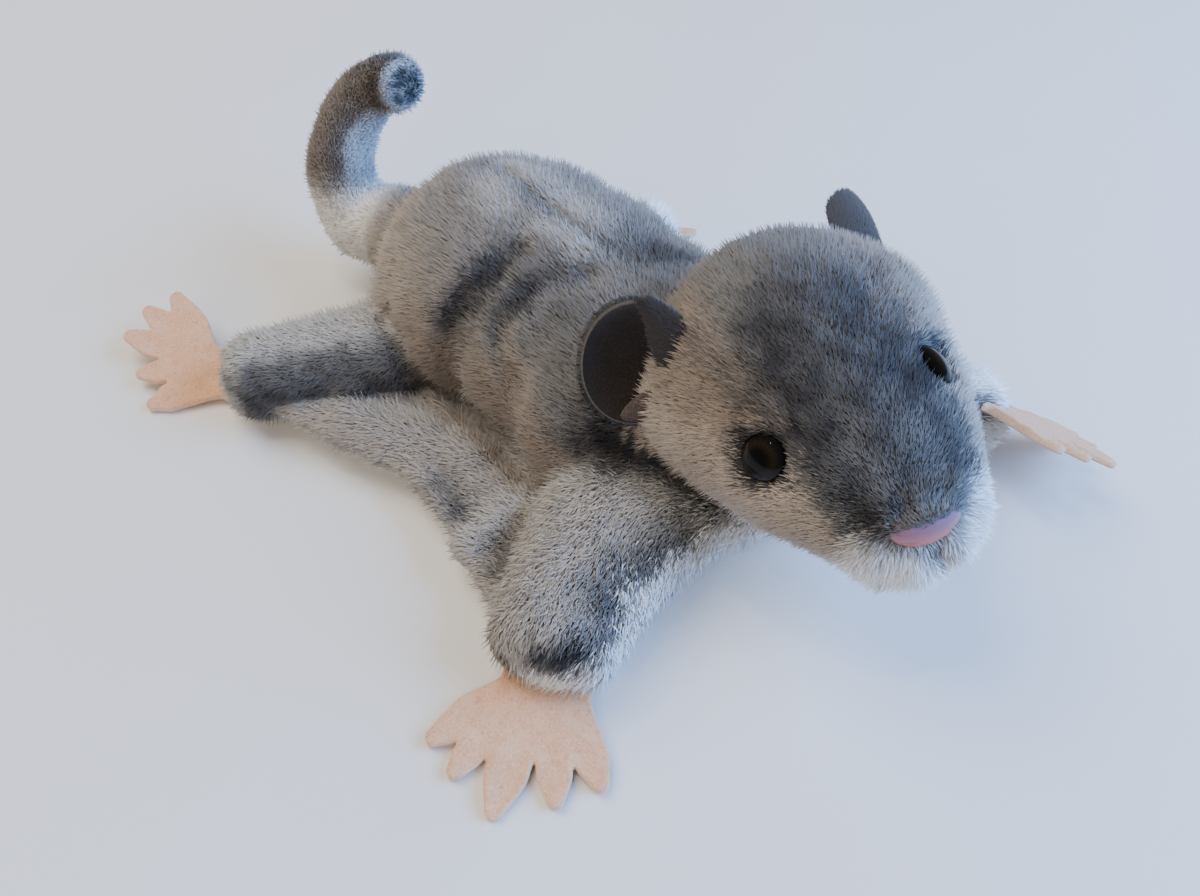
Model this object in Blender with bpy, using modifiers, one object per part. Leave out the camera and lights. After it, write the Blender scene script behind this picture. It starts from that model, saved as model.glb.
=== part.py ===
"""A plush toy glider lying spread out on its belly, at its real size.

The toy is sewn from short pile plush over stuffing: a head with a broad muzzle, a neck roll, a
torso, four short legs, a side flap between the legs on each side, and a tail that curls up.
Hands and feet are cut from felt, ears are suede lined plush, eyes and nose are moulded.

Plan: +X is the toy's own left, +Y its tail end, +Z up. It rests on the plane Z = 0.
Sizes are written in millimetres and turned into metres where a mesh is made.
Each soft piece gives way to the pieces before it: a cut by their slightly swollen copies leaves
a narrow gap all round.
"""

import math

import bmesh
import bpy
import numpy as np
from mathutils import Matrix

MM = 0.001
GAP = 0.35
FLOOR = 0.0
BELOW_FLOOR = -2.0

# Every soft piece is a loft through stations: centre x, y, z, half width, height above the
# centre, depth below it, and the roll of the section in degrees.
TORSO = (
    (1, -7, 24, 20, 20, 24, 0),
    (3, -20, 25, 34, 30, 28, 0),
    (5, -40, 25, 43, 36, 28, 0),
    (7, -62, 25, 44.5, 37, 28, 0),
    (8, -85, 23, 44.5, 36.5, 26, 0),
    (6, -108, 18, 46, 37, 21, 0),
    (12, -132, 17, 37, 33, 20, 0),
    (15, -150, 16, 30, 26, 18, 0),
    (15, -162, 14, 22, 18, 15, 0),
)
NECK = (
    (7, -90, 27, 27, 21, 24, 0),
    (13, -108, 31, 29, 21, 27, 0),
    (22, -126, 38, 32, 24, 29, 0),
)
ARM_RIGHT = (
    (12, -144, 11, 34, 11, 12, 0),
    (-12, -139, 15, 31, 15, 16, 0),
    (-34, -136, 15.5, 25.5, 16, 16.5, 0),
    (-58, -141, 13.5, 20.5, 14, 14.5, 0),
    (-75, -147.5, 12.5, 17, 13, 13.5, 0),
    (-83, -150.5, 12, 16, 12, 13, 0),
)
ARM_RIGHT_SKEW = 20.0
ARM_LEFT = (
    (18, -140, 12, 26, 11, 13, 0),
    (36, -137, 15, 25, 15, 16, 0),
    (53, -150, 15, 22, 14, 15, 0),
    (66, -170, 13.5, 17, 12.5, 14, 0),
    (77, -189, 13, 13.5, 12, 13.5, 0),
)
LEG_RIGHT = (
    (-18, -46, 18, 19, 17, 18, 0),
    (-40, -35, 16, 16.5, 15.5, 17, 0),
    (-58, -22, 14.5, 15, 14, 15, 0),
    (-79, -7.5, 13.5, 13.5, 12.5, 14, 0),
)
LEG_LEFT = (
    (26, -40, 17, 20, 17, 18, 0),
    (44, -46, 15, 17, 15, 16, 0),
    (60, -54, 14, 14.5, 13, 15, 0),
    (76, -57, 13, 13, 11, 14, 0),
)
FLAP_RIGHT = (
    (-47, -8, 7, 31, 6, 7, 8),
    (-46, -50, 8, 24.5, 6, 8, 8),
    (-43, -75, 8, 21, 6, 8, 8),
    (-45, -98, 8, 23.5, 6, 8, 8),
    (-51, -136, 7, 28, 6, 7, 8),
)
FLAP_LEFT = (
    (52, -40, 7, 26, 6, 7, -8),
    (50, -68, 8, 20, 6, 8, -8),
    (50, -92, 8, 19, 6, 8, -8),
    (55, -116, 8, 21, 6, 8, -8),
    (58, -154, 7, 24, 6, 7, -8),
)
TAIL = (
    (1, -16, 24, 15, 14.5, 15, 0),
    (-1, 2, 22.5, 14.5, 14, 14, 0),
    (-4.5, 14, 23, 13.5, 13.5, 13.5, 0),
    (-5.5, 21, 32, 12, 12, 12, 0),
    (-2, 23.5, 44, 11, 11, 11, 0),
    (4, 23, 54, 10, 10, 10, 0),
    (11, 19, 61, 9.3, 9.3, 9.3, 0),
    (17, 11.5, 65.5, 8.5, 8.5, 8.5, 0),
    (18, 5, 67, 8, 8, 8, 0),
)

# The folds across the back between rump, waist and shoulders: where along the torso, how wide
# and how deep each one is.
TORSO_FOLDS = ((58, 7, 2.6), (84, 6, 1.8))

# The head is written in its own frame, X to its left, -Y to its nose, then turned and placed.
HEAD_AT = (7.4, -173.1, 48.1)
HEAD_YAW = 22.4
HEAD_PITCH = 9.5
HEAD_ROLL = 12.8
HEAD_FLATTER = 0.12
HEAD = (
    (0, 58, 5.4, 27.7, 25.8, 23.5, 0),
    (0, 48, 6.4, 35, 31.8, 29.4, 0),
    (0, 39, 5.8, 40.9, 32.1, 31.3, 0),
    (0, 21, 4.8, 41.3, 33.7, 32, 0),
    (0, 7, 2.1, 36.9, 30.7, 29.7, 0),
    (0, -7, -0.9, 32.6, 25.7, 26.1, 0),
    (0, -19, -2.4, 27.1, 20.5, 21.2, 0),
    (0, -29, -5.1, 22.2, 14.2, 17.2, 0),
    (0, -38, -10, 18.5, 9, 15.5, 0),
)
EYE_AT = (25.0, -5.0, 13.2)
EYE_FACING = (0.72, -0.40, 0.57)
EYE_RADIUS = 6.0
EYE_DOME = 4.4
NOSE_AT = (-1.8, -35.0, -3.6)
NOSE_SIZE = (9.2, 4.8, 4.6)
NOSE_TILT = 28.0
EARS = {
    "ear_right": (-1, (40, 30, 8), (23, 33, 30), (0.71, 0.60, 0.43)),
    "ear_left": (1, (44, 31, 3), (29, 34, 26), (0.30, 0.95, 0.10)),
}
EAR_HALF_LENGTH = 16.5
EAR_REACH = 22.0
EAR_TUCK = 6.0
EAR_CUP = 5.0
EAR_BOWL = 60.0
EAR_RINGS = 15
EAR_CLOTH = 2.0

# Felt hands and feet seen from above, in millimetres along the limb and across it: first the
# corner at the wrist, then tips and valleys in turn, then the other corner.
FELT = 2.6
HAND = (
    (1, -12),
    (23, -23.2),
    (19, -14.9),
    (29.4, -14),
    (18.1, -7.1),
    (35.6, -0.6),
    (17.4, 3.9),
    (28.2, 13.3),
    (15.1, 12.6),
    (20.8, 22.8),
    (8.5, 18.6),
    (-1, 12),
)
FOOT = (
    (5.9, -8),
    (30.5, -20),
    (21.8, -11),
    (36, -10.8),
    (23, -3.8),
    (36.5, 0),
    (18.3, 3.6),
    (24.3, 11.4),
    (12, 9.6),
    (13.8, 20.3),
    (3, 15.5),
    (-6, 8),
)
FINGER_WIDTH = 5.0
FINGER_SHOULDER = 4.5
FELT_TUCK = 9.0
FELT_THIN = 1.0
TAIL_LENGTHS = ("tail_base", "tail_middle", "tail_tip")
TAIL_JOINTS = (0.43, 0.72)
WALL = 52.0

PLUSH_GREY = (0.36, 0.39, 0.43)
PLUSH_WHITE = (0.80, 0.79, 0.77)
PLUSH_CREAM = (0.66, 0.62, 0.55)
FELT_PEACH = (0.86, 0.66, 0.49)
SUEDE = (0.075, 0.062, 0.058)
EYE_BROWN = (0.035, 0.018, 0.010)
NOSE_PINK = (0.80, 0.50, 0.50)


def smooth(rows, count):
    """Rows read from a smooth cubic curve through the given rows, closer near both ends."""
    rows = np.array(rows, float)
    gaps = np.linalg.norm(np.diff(rows[:, :3], axis=0), axis=1)
    at = np.concatenate([[0], np.cumsum(gaps)])
    slopes = np.gradient(rows, at, axis=0)
    spread = np.linspace(0, 1, count)
    along = at[-1] * (0.5 * spread + 0.25 * (1 - np.cos(math.pi * spread)))
    i = np.clip(np.searchsorted(at, along, side="right") - 1, 0, len(gaps) - 1)
    span = gaps[i][:, None]
    s = ((along - at[i]) / gaps[i])[:, None]
    start = (2 * s**3 - 3 * s**2 + 1) * rows[i] + (s**3 - 2 * s**2 + s) * span * slopes[i]
    end = (3 * s**2 - 2 * s**3) * rows[i + 1] + (s**3 - s**2) * span * slopes[i + 1]
    return start + end, along


def unit(vectors):
    return vectors / np.linalg.norm(vectors, axis=-1, keepdims=True)


def frames(centres, curled, skew):
    """Unit vectors along, across and up for each section.

    The sections of a curled piece follow its path untwisted; all others stand upright, square
    to the line from end to end or turned from it by skew degrees.
    """
    along = unit(np.gradient(centres, axis=0))
    if not curled:
        x, y, _ = unit((centres[-1] - centres[0]) * (1, 1, 0))
        turn = math.radians(skew)
        along[:, 0] = x * math.cos(turn) - y * math.sin(turn)
        along[:, 1] = y * math.cos(turn) + x * math.sin(turn)
        along[:, 2] = 0
    across = np.zeros_like(along)
    side = np.cross(along[0], (0, 0, 1.0))
    for i, direction in enumerate(along):
        side = unit(side - (side @ direction) * direction)
        across[i] = side
    return along, across, np.cross(across, along)


def head_axes():
    """The head's own left, tailward and up directions."""
    yaw, pitch, roll = np.radians((HEAD_YAW, HEAD_PITCH, HEAD_ROLL))
    nose = np.array(
        (-math.sin(yaw) * math.cos(pitch), -math.cos(yaw) * math.cos(pitch), math.sin(pitch))
    )
    left = np.array((math.cos(yaw), -math.sin(yaw), 0))
    up = np.cross(nose, left)
    return np.array(
        (
            left * math.cos(roll) + up * math.sin(roll),
            -nose,
            up * math.cos(roll) - left * math.sin(roll),
        )
    )


def from_head(points):
    """Points of the head's own frame in the toy's frame."""
    return np.asarray(points, float) @ head_axes() + HEAD_AT


class Soft:
    """A stuffed piece: an ellipse carried along its stations, rounded off at both ends."""

    def __init__(self, stations, rings, sides, ends, **options):
        self.stations = stations
        self.rings = rings
        self.sides = sides
        self.ends = ends
        self.folds = options.get("folds", ())
        self.flatter = options.get("flatter", 0.0)
        self.on_head = options.get("on_head", False)
        self.curled = options.get("curled", False)
        self.skew = options.get("skew", 0.0)

    def grid(self, grow=0.0):
        """Points by ring and by side, swollen by grow millimetres."""
        rows, along = smooth(self.stations, self.rings)
        start = np.clip(along / self.ends[0], 0, 1)
        end = np.clip((along[-1] - along) / self.ends[1], 0, 1)
        taper = np.sqrt(1 - (1 - start) ** 2) * np.sqrt(1 - (1 - end) ** 2)
        direction, across, up = frames(rows[:, :3], self.curled, self.skew)
        roll = np.radians(rows[:, 6])[:, None]
        across, up = (
            across * np.cos(roll) + up * np.sin(roll),
            up * np.cos(roll) - across * np.sin(roll),
        )
        angle = np.linspace(0, 2 * math.pi, self.sides, endpoint=False)[None]
        height = np.where(np.sin(angle) > 0, rows[:, 4:5], rows[:, 5:6])
        shape = 1 - self.flatter * np.maximum(np.sin(angle), 0) * np.abs(np.cos(angle))
        swell = np.zeros_like(shape * along[:, None])
        for at, width, depth in self.folds:
            side = 0.35 + 0.65 * np.cos(angle) ** 2
            swell = swell - depth * side * np.exp(-(((along[:, None] - at) / width) ** 2))
        wide = (rows[:, 3:4] * shape + swell) * taper[:, None] + grow
        tall = (height * shape + swell) * taper[:, None] + grow
        reach = grow * np.linspace(-1, 1, self.rings)[:, None, None] * direction[:, None]
        points = (
            rows[:, None, :3]
            + across[:, None] * (wide * np.cos(angle))[..., None]
            + up[:, None] * (tall * np.sin(angle))[..., None]
            + reach
        )
        return from_head(points) if self.on_head else points


SOFT = {
    "head": Soft(HEAD, 24, 32, (20, 9), flatter=HEAD_FLATTER, on_head=True),
    "neck": Soft(NECK, 10, 26, (10, 10)),
    "torso": Soft(TORSO, 30, 32, (22, 12), folds=TORSO_FOLDS),
    "arm_right": Soft(ARM_RIGHT, 15, 20, (12, 8), skew=ARM_RIGHT_SKEW),
    "arm_left": Soft(ARM_LEFT, 13, 20, (12, 8)),
    "leg_right": Soft(LEG_RIGHT, 12, 20, (14, 9)),
    "leg_left": Soft(LEG_LEFT, 12, 20, (14, 9)),
    "flap_right": Soft(FLAP_RIGHT, 16, 18, (10, 10)),
    "flap_left": Soft(FLAP_LEFT, 15, 18, (10, 10)),
    "tail": Soft(TAIL, 26, 16, (10, 8), curled=True),
}


def mesh_from(name, points, faces):
    """A mesh with outward faces from points in millimetres."""
    bm = bmesh.new()
    verts = [bm.verts.new(point * MM) for point in np.asarray(points, float)]
    for face in faces:
        bm.faces.new([verts[i] for i in face])
    bmesh.ops.recalc_face_normals(bm, faces=bm.faces)
    return mesh_of(name, bm)


def mesh_of_grid(name, grid, floor):
    """A closed mesh of rings, with a fan at each end, pressed flat where it meets the floor."""
    grid = grid.copy()
    grid[..., 2] = np.maximum(grid[..., 2], floor)
    rings, sides = grid.shape[:2]
    points = np.concatenate([grid[1:-1].reshape(-1, 3), [grid[0].mean(0), grid[-1].mean(0)]])
    last = (rings - 3) * sides
    first_tip = len(points) - 2
    last_tip = len(points) - 1
    faces = []
    for j in range(sides):
        k = (j + 1) % sides
        faces.append((first_tip, j, k))
        faces.append((last_tip, last + k, last + j))
        for row in range(0, last, sides):
            faces.append((row + j, row + sides + j, row + sides + k, row + k))
    return mesh_from(name, points, faces)


def placing(axes, sizes, at):
    """The matrix that stretches by sizes along the rows of axes, then moves to a point."""
    matrix = Matrix.Identity(4)
    for column, (axis, size) in enumerate(zip(axes, sizes)):
        for row in range(3):
            matrix[row][column] = axis[row] * size * MM
    for row in range(3):
        matrix[row][3] = at[row] * MM
    return matrix


def mesh_of(name, bm):
    mesh = bpy.data.meshes.new(name)
    bm.to_mesh(mesh)
    bm.free()
    return mesh


def ball_mesh(name, centre, axes, radii, grow):
    """A flattened ball; axes are the rows of its own directions, the last one its pole."""
    bm = bmesh.new()
    place = placing(axes, [radius + grow for radius in radii], centre)
    bmesh.ops.create_uvsphere(bm, u_segments=20, v_segments=9, radius=1.0, matrix=place)
    return mesh_of(name, bm)


def axes_facing(facing, upward):
    """Rows across, up and facing for a piece that looks along facing."""
    facing = unit(np.asarray(facing, float))
    across = unit(np.cross(upward, facing))
    return np.array((across, np.cross(facing, across), facing))


def mirrored(point, side):
    return np.array((point[0] * side, point[1], point[2]), float)


def eye_mesh(name, side, grow=0.0):
    centre = from_head(mirrored(EYE_AT, side))
    facing = mirrored(EYE_FACING, side) @ head_axes()
    axes = axes_facing(facing, head_axes()[2])
    return ball_mesh(name, centre, axes, (EYE_RADIUS, EYE_RADIUS, EYE_DOME), grow)


def nose_mesh(name, grow=0.0):
    tilt = math.radians(NOSE_TILT)
    facing = np.array((0, -math.cos(tilt), math.sin(tilt))) @ head_axes()
    axes = axes_facing(facing, head_axes()[2])
    return ball_mesh(name, from_head(NOSE_AT), axes, NOSE_SIZE, grow)


def add_ear(name, collection, side, foot, roof, outward):
    """A cup of cloth, cut from a ball, standing on the line from its foot to its roof."""
    foot = mirrored(foot, side)
    roof = mirrored(roof, side)
    chord = unit(roof - foot)
    outward = mirrored(outward, side)
    outward = unit(outward - (outward @ chord) * chord)
    inward = unit(np.cross(outward, chord)) * side
    half_reach = (EAR_REACH + EAR_TUCK) / 2
    middle = (foot + roof) / 2 + outward * (half_reach - EAR_TUCK)
    bowl = math.radians(EAR_BOWL)
    wide = math.sin(bowl)
    deep = EAR_CUP / (1 - math.cos(bowl))
    axes = np.array((chord, outward, inward)) @ head_axes()
    sizes = (EAR_HALF_LENGTH / wide, half_reach / wide, deep)
    centre = from_head(middle + inward * deep * math.cos(bowl))
    bm = bmesh.new()
    bmesh.ops.create_uvsphere(bm, u_segments=28, v_segments=EAR_RINGS, radius=1.0)
    beyond = [v for v in bm.verts if v.co.z > 0.001 - math.cos(bowl)]
    bmesh.ops.delete(bm, geom=beyond, context="VERTS")
    bmesh.ops.transform(bm, matrix=placing(axes, sizes, centre), verts=bm.verts)
    bmesh.ops.recalc_face_normals(bm, faces=bm.faces)
    obj = add_object(name, mesh_of(name, bm), collection)
    cloth = obj.modifiers.new("cloth", "SOLIDIFY")
    cloth.thickness = EAR_CLOTH * MM
    cloth.offset = 0
    return obj


def felt_outline(corners, side):
    """The rounded outline of a felt hand or foot from its tips and valleys."""
    corners = np.array(corners, float) * (1, side)
    knots = [corners[0] - (FELT_TUCK, 0), corners[0]]
    for i in range(1, len(corners) - 2, 2):
        before = corners[i - 1]
        tip = corners[i]
        after = corners[i + 1]
        length = np.linalg.norm(tip - (before + after) / 2)
        direction = (tip - (before + after) / 2) / length
        aside = np.array((direction[1], -direction[0]))
        if (before - after) @ aside < 0:
            aside = -aside
        shoulder = tip - direction * min(FINGER_SHOULDER, 0.4 * length)
        knots.append(shoulder + aside * FINGER_WIDTH / 2)
        knots.append(tip)
        knots.append(shoulder - aside * FINGER_WIDTH / 2)
        knots.append(after)
    knots.append(corners[-1])
    knots.append(corners[-1] - (FELT_TUCK, 0))
    knots = np.array(knots)
    outline = []
    for i in range(len(knots)):
        p0, p1, p2, p3 = knots[np.arange(i - 1, i + 3) % len(knots)]
        for t in (0.0, 0.34, 0.67):
            bend = 2 * p0 - 5 * p1 + 4 * p2 - p3
            twist = 3 * p1 - p0 - 3 * p2 + p3
            point = p1 + 0.5 * ((p2 - p0) * t + bend * t**2 + twist * t**3)
            outline.append(point)
    return np.array(outline)


def felt_mesh(name, corners, side, wrist, forward, normal):
    """A felt plate in the plane through the wrist, square to normal, bent where it meets the
    floor."""
    outline = felt_outline(corners, side) * MM
    curve = bpy.data.curves.new(name, "CURVE")
    curve.dimensions = "2D"
    curve.fill_mode = "BOTH"
    curve.extrude = FELT * MM / 2
    spline = curve.splines.new("POLY")
    spline.points.add(len(outline) - 1)
    for point, (x, y) in zip(spline.points, outline):
        point.co = (x, y, 0, 1)
    spline.use_cyclic_u = True
    obj = add_object(name, curve, bpy.context.scene.collection)
    bpy.context.view_layer.update()
    graph = bpy.context.evaluated_depsgraph_get()
    flat = bpy.data.meshes.new_from_object(obj.evaluated_get(graph))
    bpy.data.objects.remove(obj)
    normal = unit(np.asarray(normal, float))
    forward = np.asarray(forward, float)
    forward = unit(forward - (forward @ normal) * normal)
    across = np.cross(normal, forward)
    place = placing((forward, across, normal), (1 / MM, 1 / MM, 1 / MM), wrist)
    bm = bmesh.new()
    bm.from_mesh(flat)
    bmesh.ops.remove_doubles(bm, verts=bm.verts, dist=0.00001)
    for v in bm.verts:
        lowest = FELT_THIN * MM if v.co.z > 0 else 0.0
        v.co = place @ v.co
        v.co.z = max(v.co.z, lowest)
    bmesh.ops.recalc_face_normals(bm, faces=bm.faces)
    return mesh_of(name, bm)


# Each felt piece: its outline, which way round it is, its wrist point, the way it reaches and
# the way its upper face looks.
FELT_PIECES = {
    "hand_right": (HAND, 1, (-79.9, -150.6, 3.4), (-0.908, -0.419, -0.055), (-0.05, -0.02, 1)),
    "hand_left": (HAND, -1, (73.5, -187, 17), (0.34, -0.92, -0.17), (0.66, 0.05, 0.75)),
    "foot_right": (FOOT, 1, (-74.4, 5.9, 4.8), (-0.353, 0.931, 0.097), (-0.176, -0.168, 0.97)),
    "foot_left": (FOOT, -1, (72, -51, 7), (-0.35, 0.93, -0.12), (0.05, 0.05, 1)),
}


def new_collection(name):
    collection = bpy.data.collections.new(name)
    bpy.context.scene.collection.children.link(collection)
    return collection


def add_object(name, mesh, collection):
    obj = bpy.data.objects.new(name, mesh)
    collection.objects.link(obj)
    return obj


def add_cutter(name, mesh, collection):
    obj = add_object(name + "_cutter", mesh, collection)
    obj.hide_render = True
    obj.display_type = "WIRE"
    return obj


def keep_largest(mesh):
    """Leaves only the largest closed surface of a mesh."""
    bm = bmesh.new()
    bm.from_mesh(mesh)
    left = set(bm.verts)
    islands = []
    while left:
        island = {left.pop()}
        edge = list(island)
        while edge:
            near = {e.other_vert(v) for v in edge for e in v.link_edges} & left
            left -= near
            island |= near
            edge = list(near)
        islands.append(island)
    islands.sort(key=len)
    scraps = [v for island in islands[:-1] for v in island]
    bmesh.ops.delete(bm, geom=scraps, context="VERTS")
    bm.to_mesh(mesh)
    bm.free()


def cut(obj, cutters):
    """Takes the cutters out of obj with exact Booleans, and keeps the largest body left."""
    for cutter in cutters:
        modifier = obj.modifiers.new(cutter.name, "BOOLEAN")
        modifier.operation = "DIFFERENCE"
        modifier.solver = "EXACT"
        modifier.object = cutter
    bpy.context.view_layer.update()
    graph = bpy.context.evaluated_depsgraph_get()
    mesh = bpy.data.meshes.new_from_object(obj.evaluated_get(graph))
    obj.modifiers.clear()
    keep_largest(mesh)
    obj.data = mesh


def split_tail(toy, cutters):
    """The tail in three lengths, cut square across with a gap between them."""
    rows, along = smooth(TAIL, 200)
    direction = unit(np.gradient(rows[:, :3], axis=0))
    joints = [int(share * len(rows)) for share in TAIL_JOINTS]
    bounds = [0, *joints, len(rows) - 1]
    pieces = []
    for name, start, end in zip(TAIL_LENGTHS, bounds, bounds[1:]):
        piece = add_object(name, mesh_of_grid(name, SOFT["tail"].grid(), FLOOR), toy)
        walls = []
        for joint in joints:
            before = joint >= end
            way = direction[joint] * (1 if before else -1)
            walls.append(wall(name, rows[joint, :3] + way * -GAP / 2, way, cutters))
        pieces.append((piece, walls))
    return pieces


def wall(name, point, way, cutters):
    """A block with one face through the point, lying on the side that way points to."""
    place = placing(axes_facing(way, (0.3, 0.1, 1.0)), (WALL, WALL, WALL), point + way * WALL / 2)
    bm = bmesh.new()
    bmesh.ops.create_cube(bm, size=1.0, matrix=place)
    return add_cutter(name + "_wall", mesh_of(name + "_wall", bm), cutters)


def paint(obj, colour, roughness):
    """A plain surface of one colour, smooth shaded."""
    material = bpy.data.materials.new(obj.name)
    material.use_nodes = True
    shader = material.node_tree.nodes["Principled BSDF"]
    shader.inputs["Base Color"].default_value = (*colour, 1.0)
    shader.inputs["Roughness"].default_value = roughness
    shader.inputs["Metallic"].default_value = 0.0
    obj.data.materials.clear()
    obj.data.materials.append(material)
    obj.data.shade_smooth()


LOOKS = {
    "head": (PLUSH_GREY, 0.95),
    "neck": (PLUSH_GREY, 0.95),
    "torso": (PLUSH_GREY, 0.95),
    "arm_right": (PLUSH_WHITE, 0.95),
    "arm_left": (PLUSH_WHITE, 0.95),
    "leg_right": (PLUSH_GREY, 0.95),
    "leg_left": (PLUSH_GREY, 0.95),
    "flap_right": (PLUSH_GREY, 0.95),
    "flap_left": (PLUSH_GREY, 0.95),
    "tail_base": (PLUSH_CREAM, 0.95),
    "tail_middle": (PLUSH_GREY, 0.95),
    "tail_tip": (PLUSH_GREY, 0.95),
    "ear_right": (SUEDE, 0.9),
    "ear_left": (SUEDE, 0.9),
    "eye_right": (EYE_BROWN, 0.08),
    "eye_left": (EYE_BROWN, 0.08),
    "nose": (NOSE_PINK, 0.35),
    "hand_right": (FELT_PEACH, 0.95),
    "hand_left": (FELT_PEACH, 0.95),
    "foot_right": (FELT_PEACH, 0.95),
    "foot_left": (FELT_PEACH, 0.95),
}


def soft_solid(name, toy):
    return add_object(name, mesh_of_grid(name, SOFT[name].grid(), FLOOR), toy)


def soft_cutter(name, cutters):
    return add_cutter(name, mesh_of_grid(name, SOFT[name].grid(GAP), BELOW_FLOOR), cutters)


def centre_on_floor(objects, collection):
    """Hangs every piece from an empty, placed so that the toy's box stands over the origin."""
    points = np.concatenate([[v.co for v in obj.data.vertices] for obj in objects])
    low = points.min(0)
    high = points.max(0)
    base = add_object("plush_glider", None, collection)
    base.location = (-(low[0] + high[0]) / 2, -(low[1] + high[1]) / 2, -low[2])
    for obj in objects:
        obj.parent = base
    return base


def main():
    for obj in list(bpy.data.objects):
        bpy.data.objects.remove(obj)
    toy = new_collection("plush_glider")
    cutters = new_collection("cutters")
    made = {name: soft_solid(name, toy) for name in SOFT if name != "tail"}
    cutter = {name: soft_cutter(name, cutters) for name in SOFT}
    for name, side in (("eye_right", -1), ("eye_left", 1)):
        made[name] = add_object(name, eye_mesh(name, side), toy)
        cutter[name] = add_cutter(name, eye_mesh(name, side, GAP), cutters)
    made["nose"] = add_object("nose", nose_mesh("nose"), toy)
    cutter["nose"] = add_cutter("nose", nose_mesh("nose", GAP), cutters)
    cut(made["head"], [cutter["eye_right"], cutter["eye_left"], cutter["nose"]])
    cut(made["neck"], [cutter["head"]])
    cut(made["torso"], [cutter["head"], cutter["neck"]])
    body = [cutter["head"], cutter["neck"], cutter["torso"]]
    cut(made["arm_right"], body)
    cut(made["arm_left"], body + [cutter["arm_right"]])
    cut(made["leg_right"], body)
    cut(made["leg_left"], body)
    cut(made["flap_right"], body + [cutter["arm_right"], cutter["leg_right"]])
    cut(made["flap_left"], body + [cutter["arm_left"], cutter["leg_left"]])
    for piece, walls in split_tail(toy, cutters):
        made[piece.name] = piece
        cut(piece, walls + [cutter["torso"]])
    for name, ear in EARS.items():
        made[name] = add_ear(name, toy, *ear)
        cut(made[name], [cutter["head"], cutter["neck"], cutter["torso"]])
    for name, piece in FELT_PIECES.items():
        made[name] = add_object(name, felt_mesh(name, *piece), toy)
        part, side = name.split("_")
        limb = "arm_" if part == "hand" else "leg_"
        cut(made[name], [cutter[limb + side], cutter["flap_" + side]])
    for name, (colour, roughness) in LOOKS.items():
        paint(made[name], colour, roughness)
    return centre_on_floor(list(made.values()), toy)


main()
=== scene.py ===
"""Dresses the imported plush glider: sewn skin, pile, lined ears, moulded eyes and nose, felt feet.

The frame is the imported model. Sizes are in millimetres in the toy's own frame, the one its
source is written in: +X is the toy's left, +Y its tail end, +Z up, and it lies on Z = 0.
TOY_AT, worked out from the frame, moves them to the frame's own place. Each new mesh is in
metres, with its place in its vertices.
"""

import math

import bpy
import numpy as np
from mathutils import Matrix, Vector


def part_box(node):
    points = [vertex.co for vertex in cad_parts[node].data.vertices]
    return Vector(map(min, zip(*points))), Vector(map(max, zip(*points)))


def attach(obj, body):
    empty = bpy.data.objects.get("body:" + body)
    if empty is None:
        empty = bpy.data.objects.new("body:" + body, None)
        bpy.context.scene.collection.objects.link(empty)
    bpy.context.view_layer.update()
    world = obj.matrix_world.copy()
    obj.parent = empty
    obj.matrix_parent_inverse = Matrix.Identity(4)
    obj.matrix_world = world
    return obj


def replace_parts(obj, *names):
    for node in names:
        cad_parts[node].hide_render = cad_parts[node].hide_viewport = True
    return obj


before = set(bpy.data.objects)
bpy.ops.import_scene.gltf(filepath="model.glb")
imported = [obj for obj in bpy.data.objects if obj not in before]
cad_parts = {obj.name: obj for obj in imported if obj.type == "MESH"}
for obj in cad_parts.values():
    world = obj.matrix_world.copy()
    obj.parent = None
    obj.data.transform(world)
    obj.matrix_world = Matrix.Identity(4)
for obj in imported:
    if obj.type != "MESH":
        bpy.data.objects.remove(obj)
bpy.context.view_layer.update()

bl_info = {
    "name": "Plush Glider",
    "version": (1, 0, 0),
    "blender": (4, 5, 0),
    "location": "View3D > Sidebar > Plush Glider",
    "description": "Dresses the frame of a plush toy glider with pile, felt, ears, eyes and nose",
    "category": "Object",
}

MM = 0.001

# Every stuffed part is a loft through stations: centre x, y, z, half width, height above the
# centre, depth below it, and the roll of the section in degrees.
TORSO = (
    (1, -7, 24, 20, 20, 24, 0),
    (3, -20, 25, 34, 30, 28, 0),
    (5, -40, 25, 43, 36, 28, 0),
    (7, -62, 25, 44.5, 37, 28, 0),
    (8, -85, 23, 44.5, 36.5, 26, 0),
    (6, -108, 18, 46, 37, 21, 0),
    (12, -132, 17, 37, 33, 20, 0),
    (15, -150, 16, 30, 26, 18, 0),
    (15, -162, 14, 22, 18, 15, 0),
)
NECK = (
    (7, -90, 27, 27, 21, 24, 0),
    (13, -108, 31, 29, 21, 27, 0),
    (22, -126, 38, 32, 24, 29, 0),
)
ARM_RIGHT = (
    (12, -144, 11, 34, 11, 12, 0),
    (-12, -139, 15, 31, 15, 16, 0),
    (-34, -136, 15.5, 25.5, 16, 16.5, 0),
    (-58, -141, 13.5, 20.5, 14, 14.5, 0),
    (-75, -147.5, 12.5, 17, 13, 13.5, 0),
    (-83, -150.5, 12, 16, 12, 13, 0),
)
ARM_LEFT = (
    (18, -140, 12, 26, 11, 13, 0),
    (36, -137, 15, 25, 15, 16, 0),
    (53, -150, 15, 22, 14, 15, 0),
    (66, -170, 13.5, 17, 12.5, 14, 0),
    (77, -189, 13, 13.5, 12, 13.5, 0),
)
LEG_RIGHT = (
    (-18, -46, 18, 19, 17, 18, 0),
    (-40, -35, 16, 16.5, 15.5, 17, 0),
    (-58, -22, 14.5, 15, 14, 15, 0),
    (-79, -7.5, 13.5, 13.5, 12.5, 14, 0),
)
LEG_LEFT = (
    (26, -40, 17, 20, 17, 18, 0),
    (44, -46, 15, 17, 15, 16, 0),
    (60, -54, 14, 14.5, 13, 15, 0),
    (76, -57, 13, 13, 11, 14, 0),
)
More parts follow.
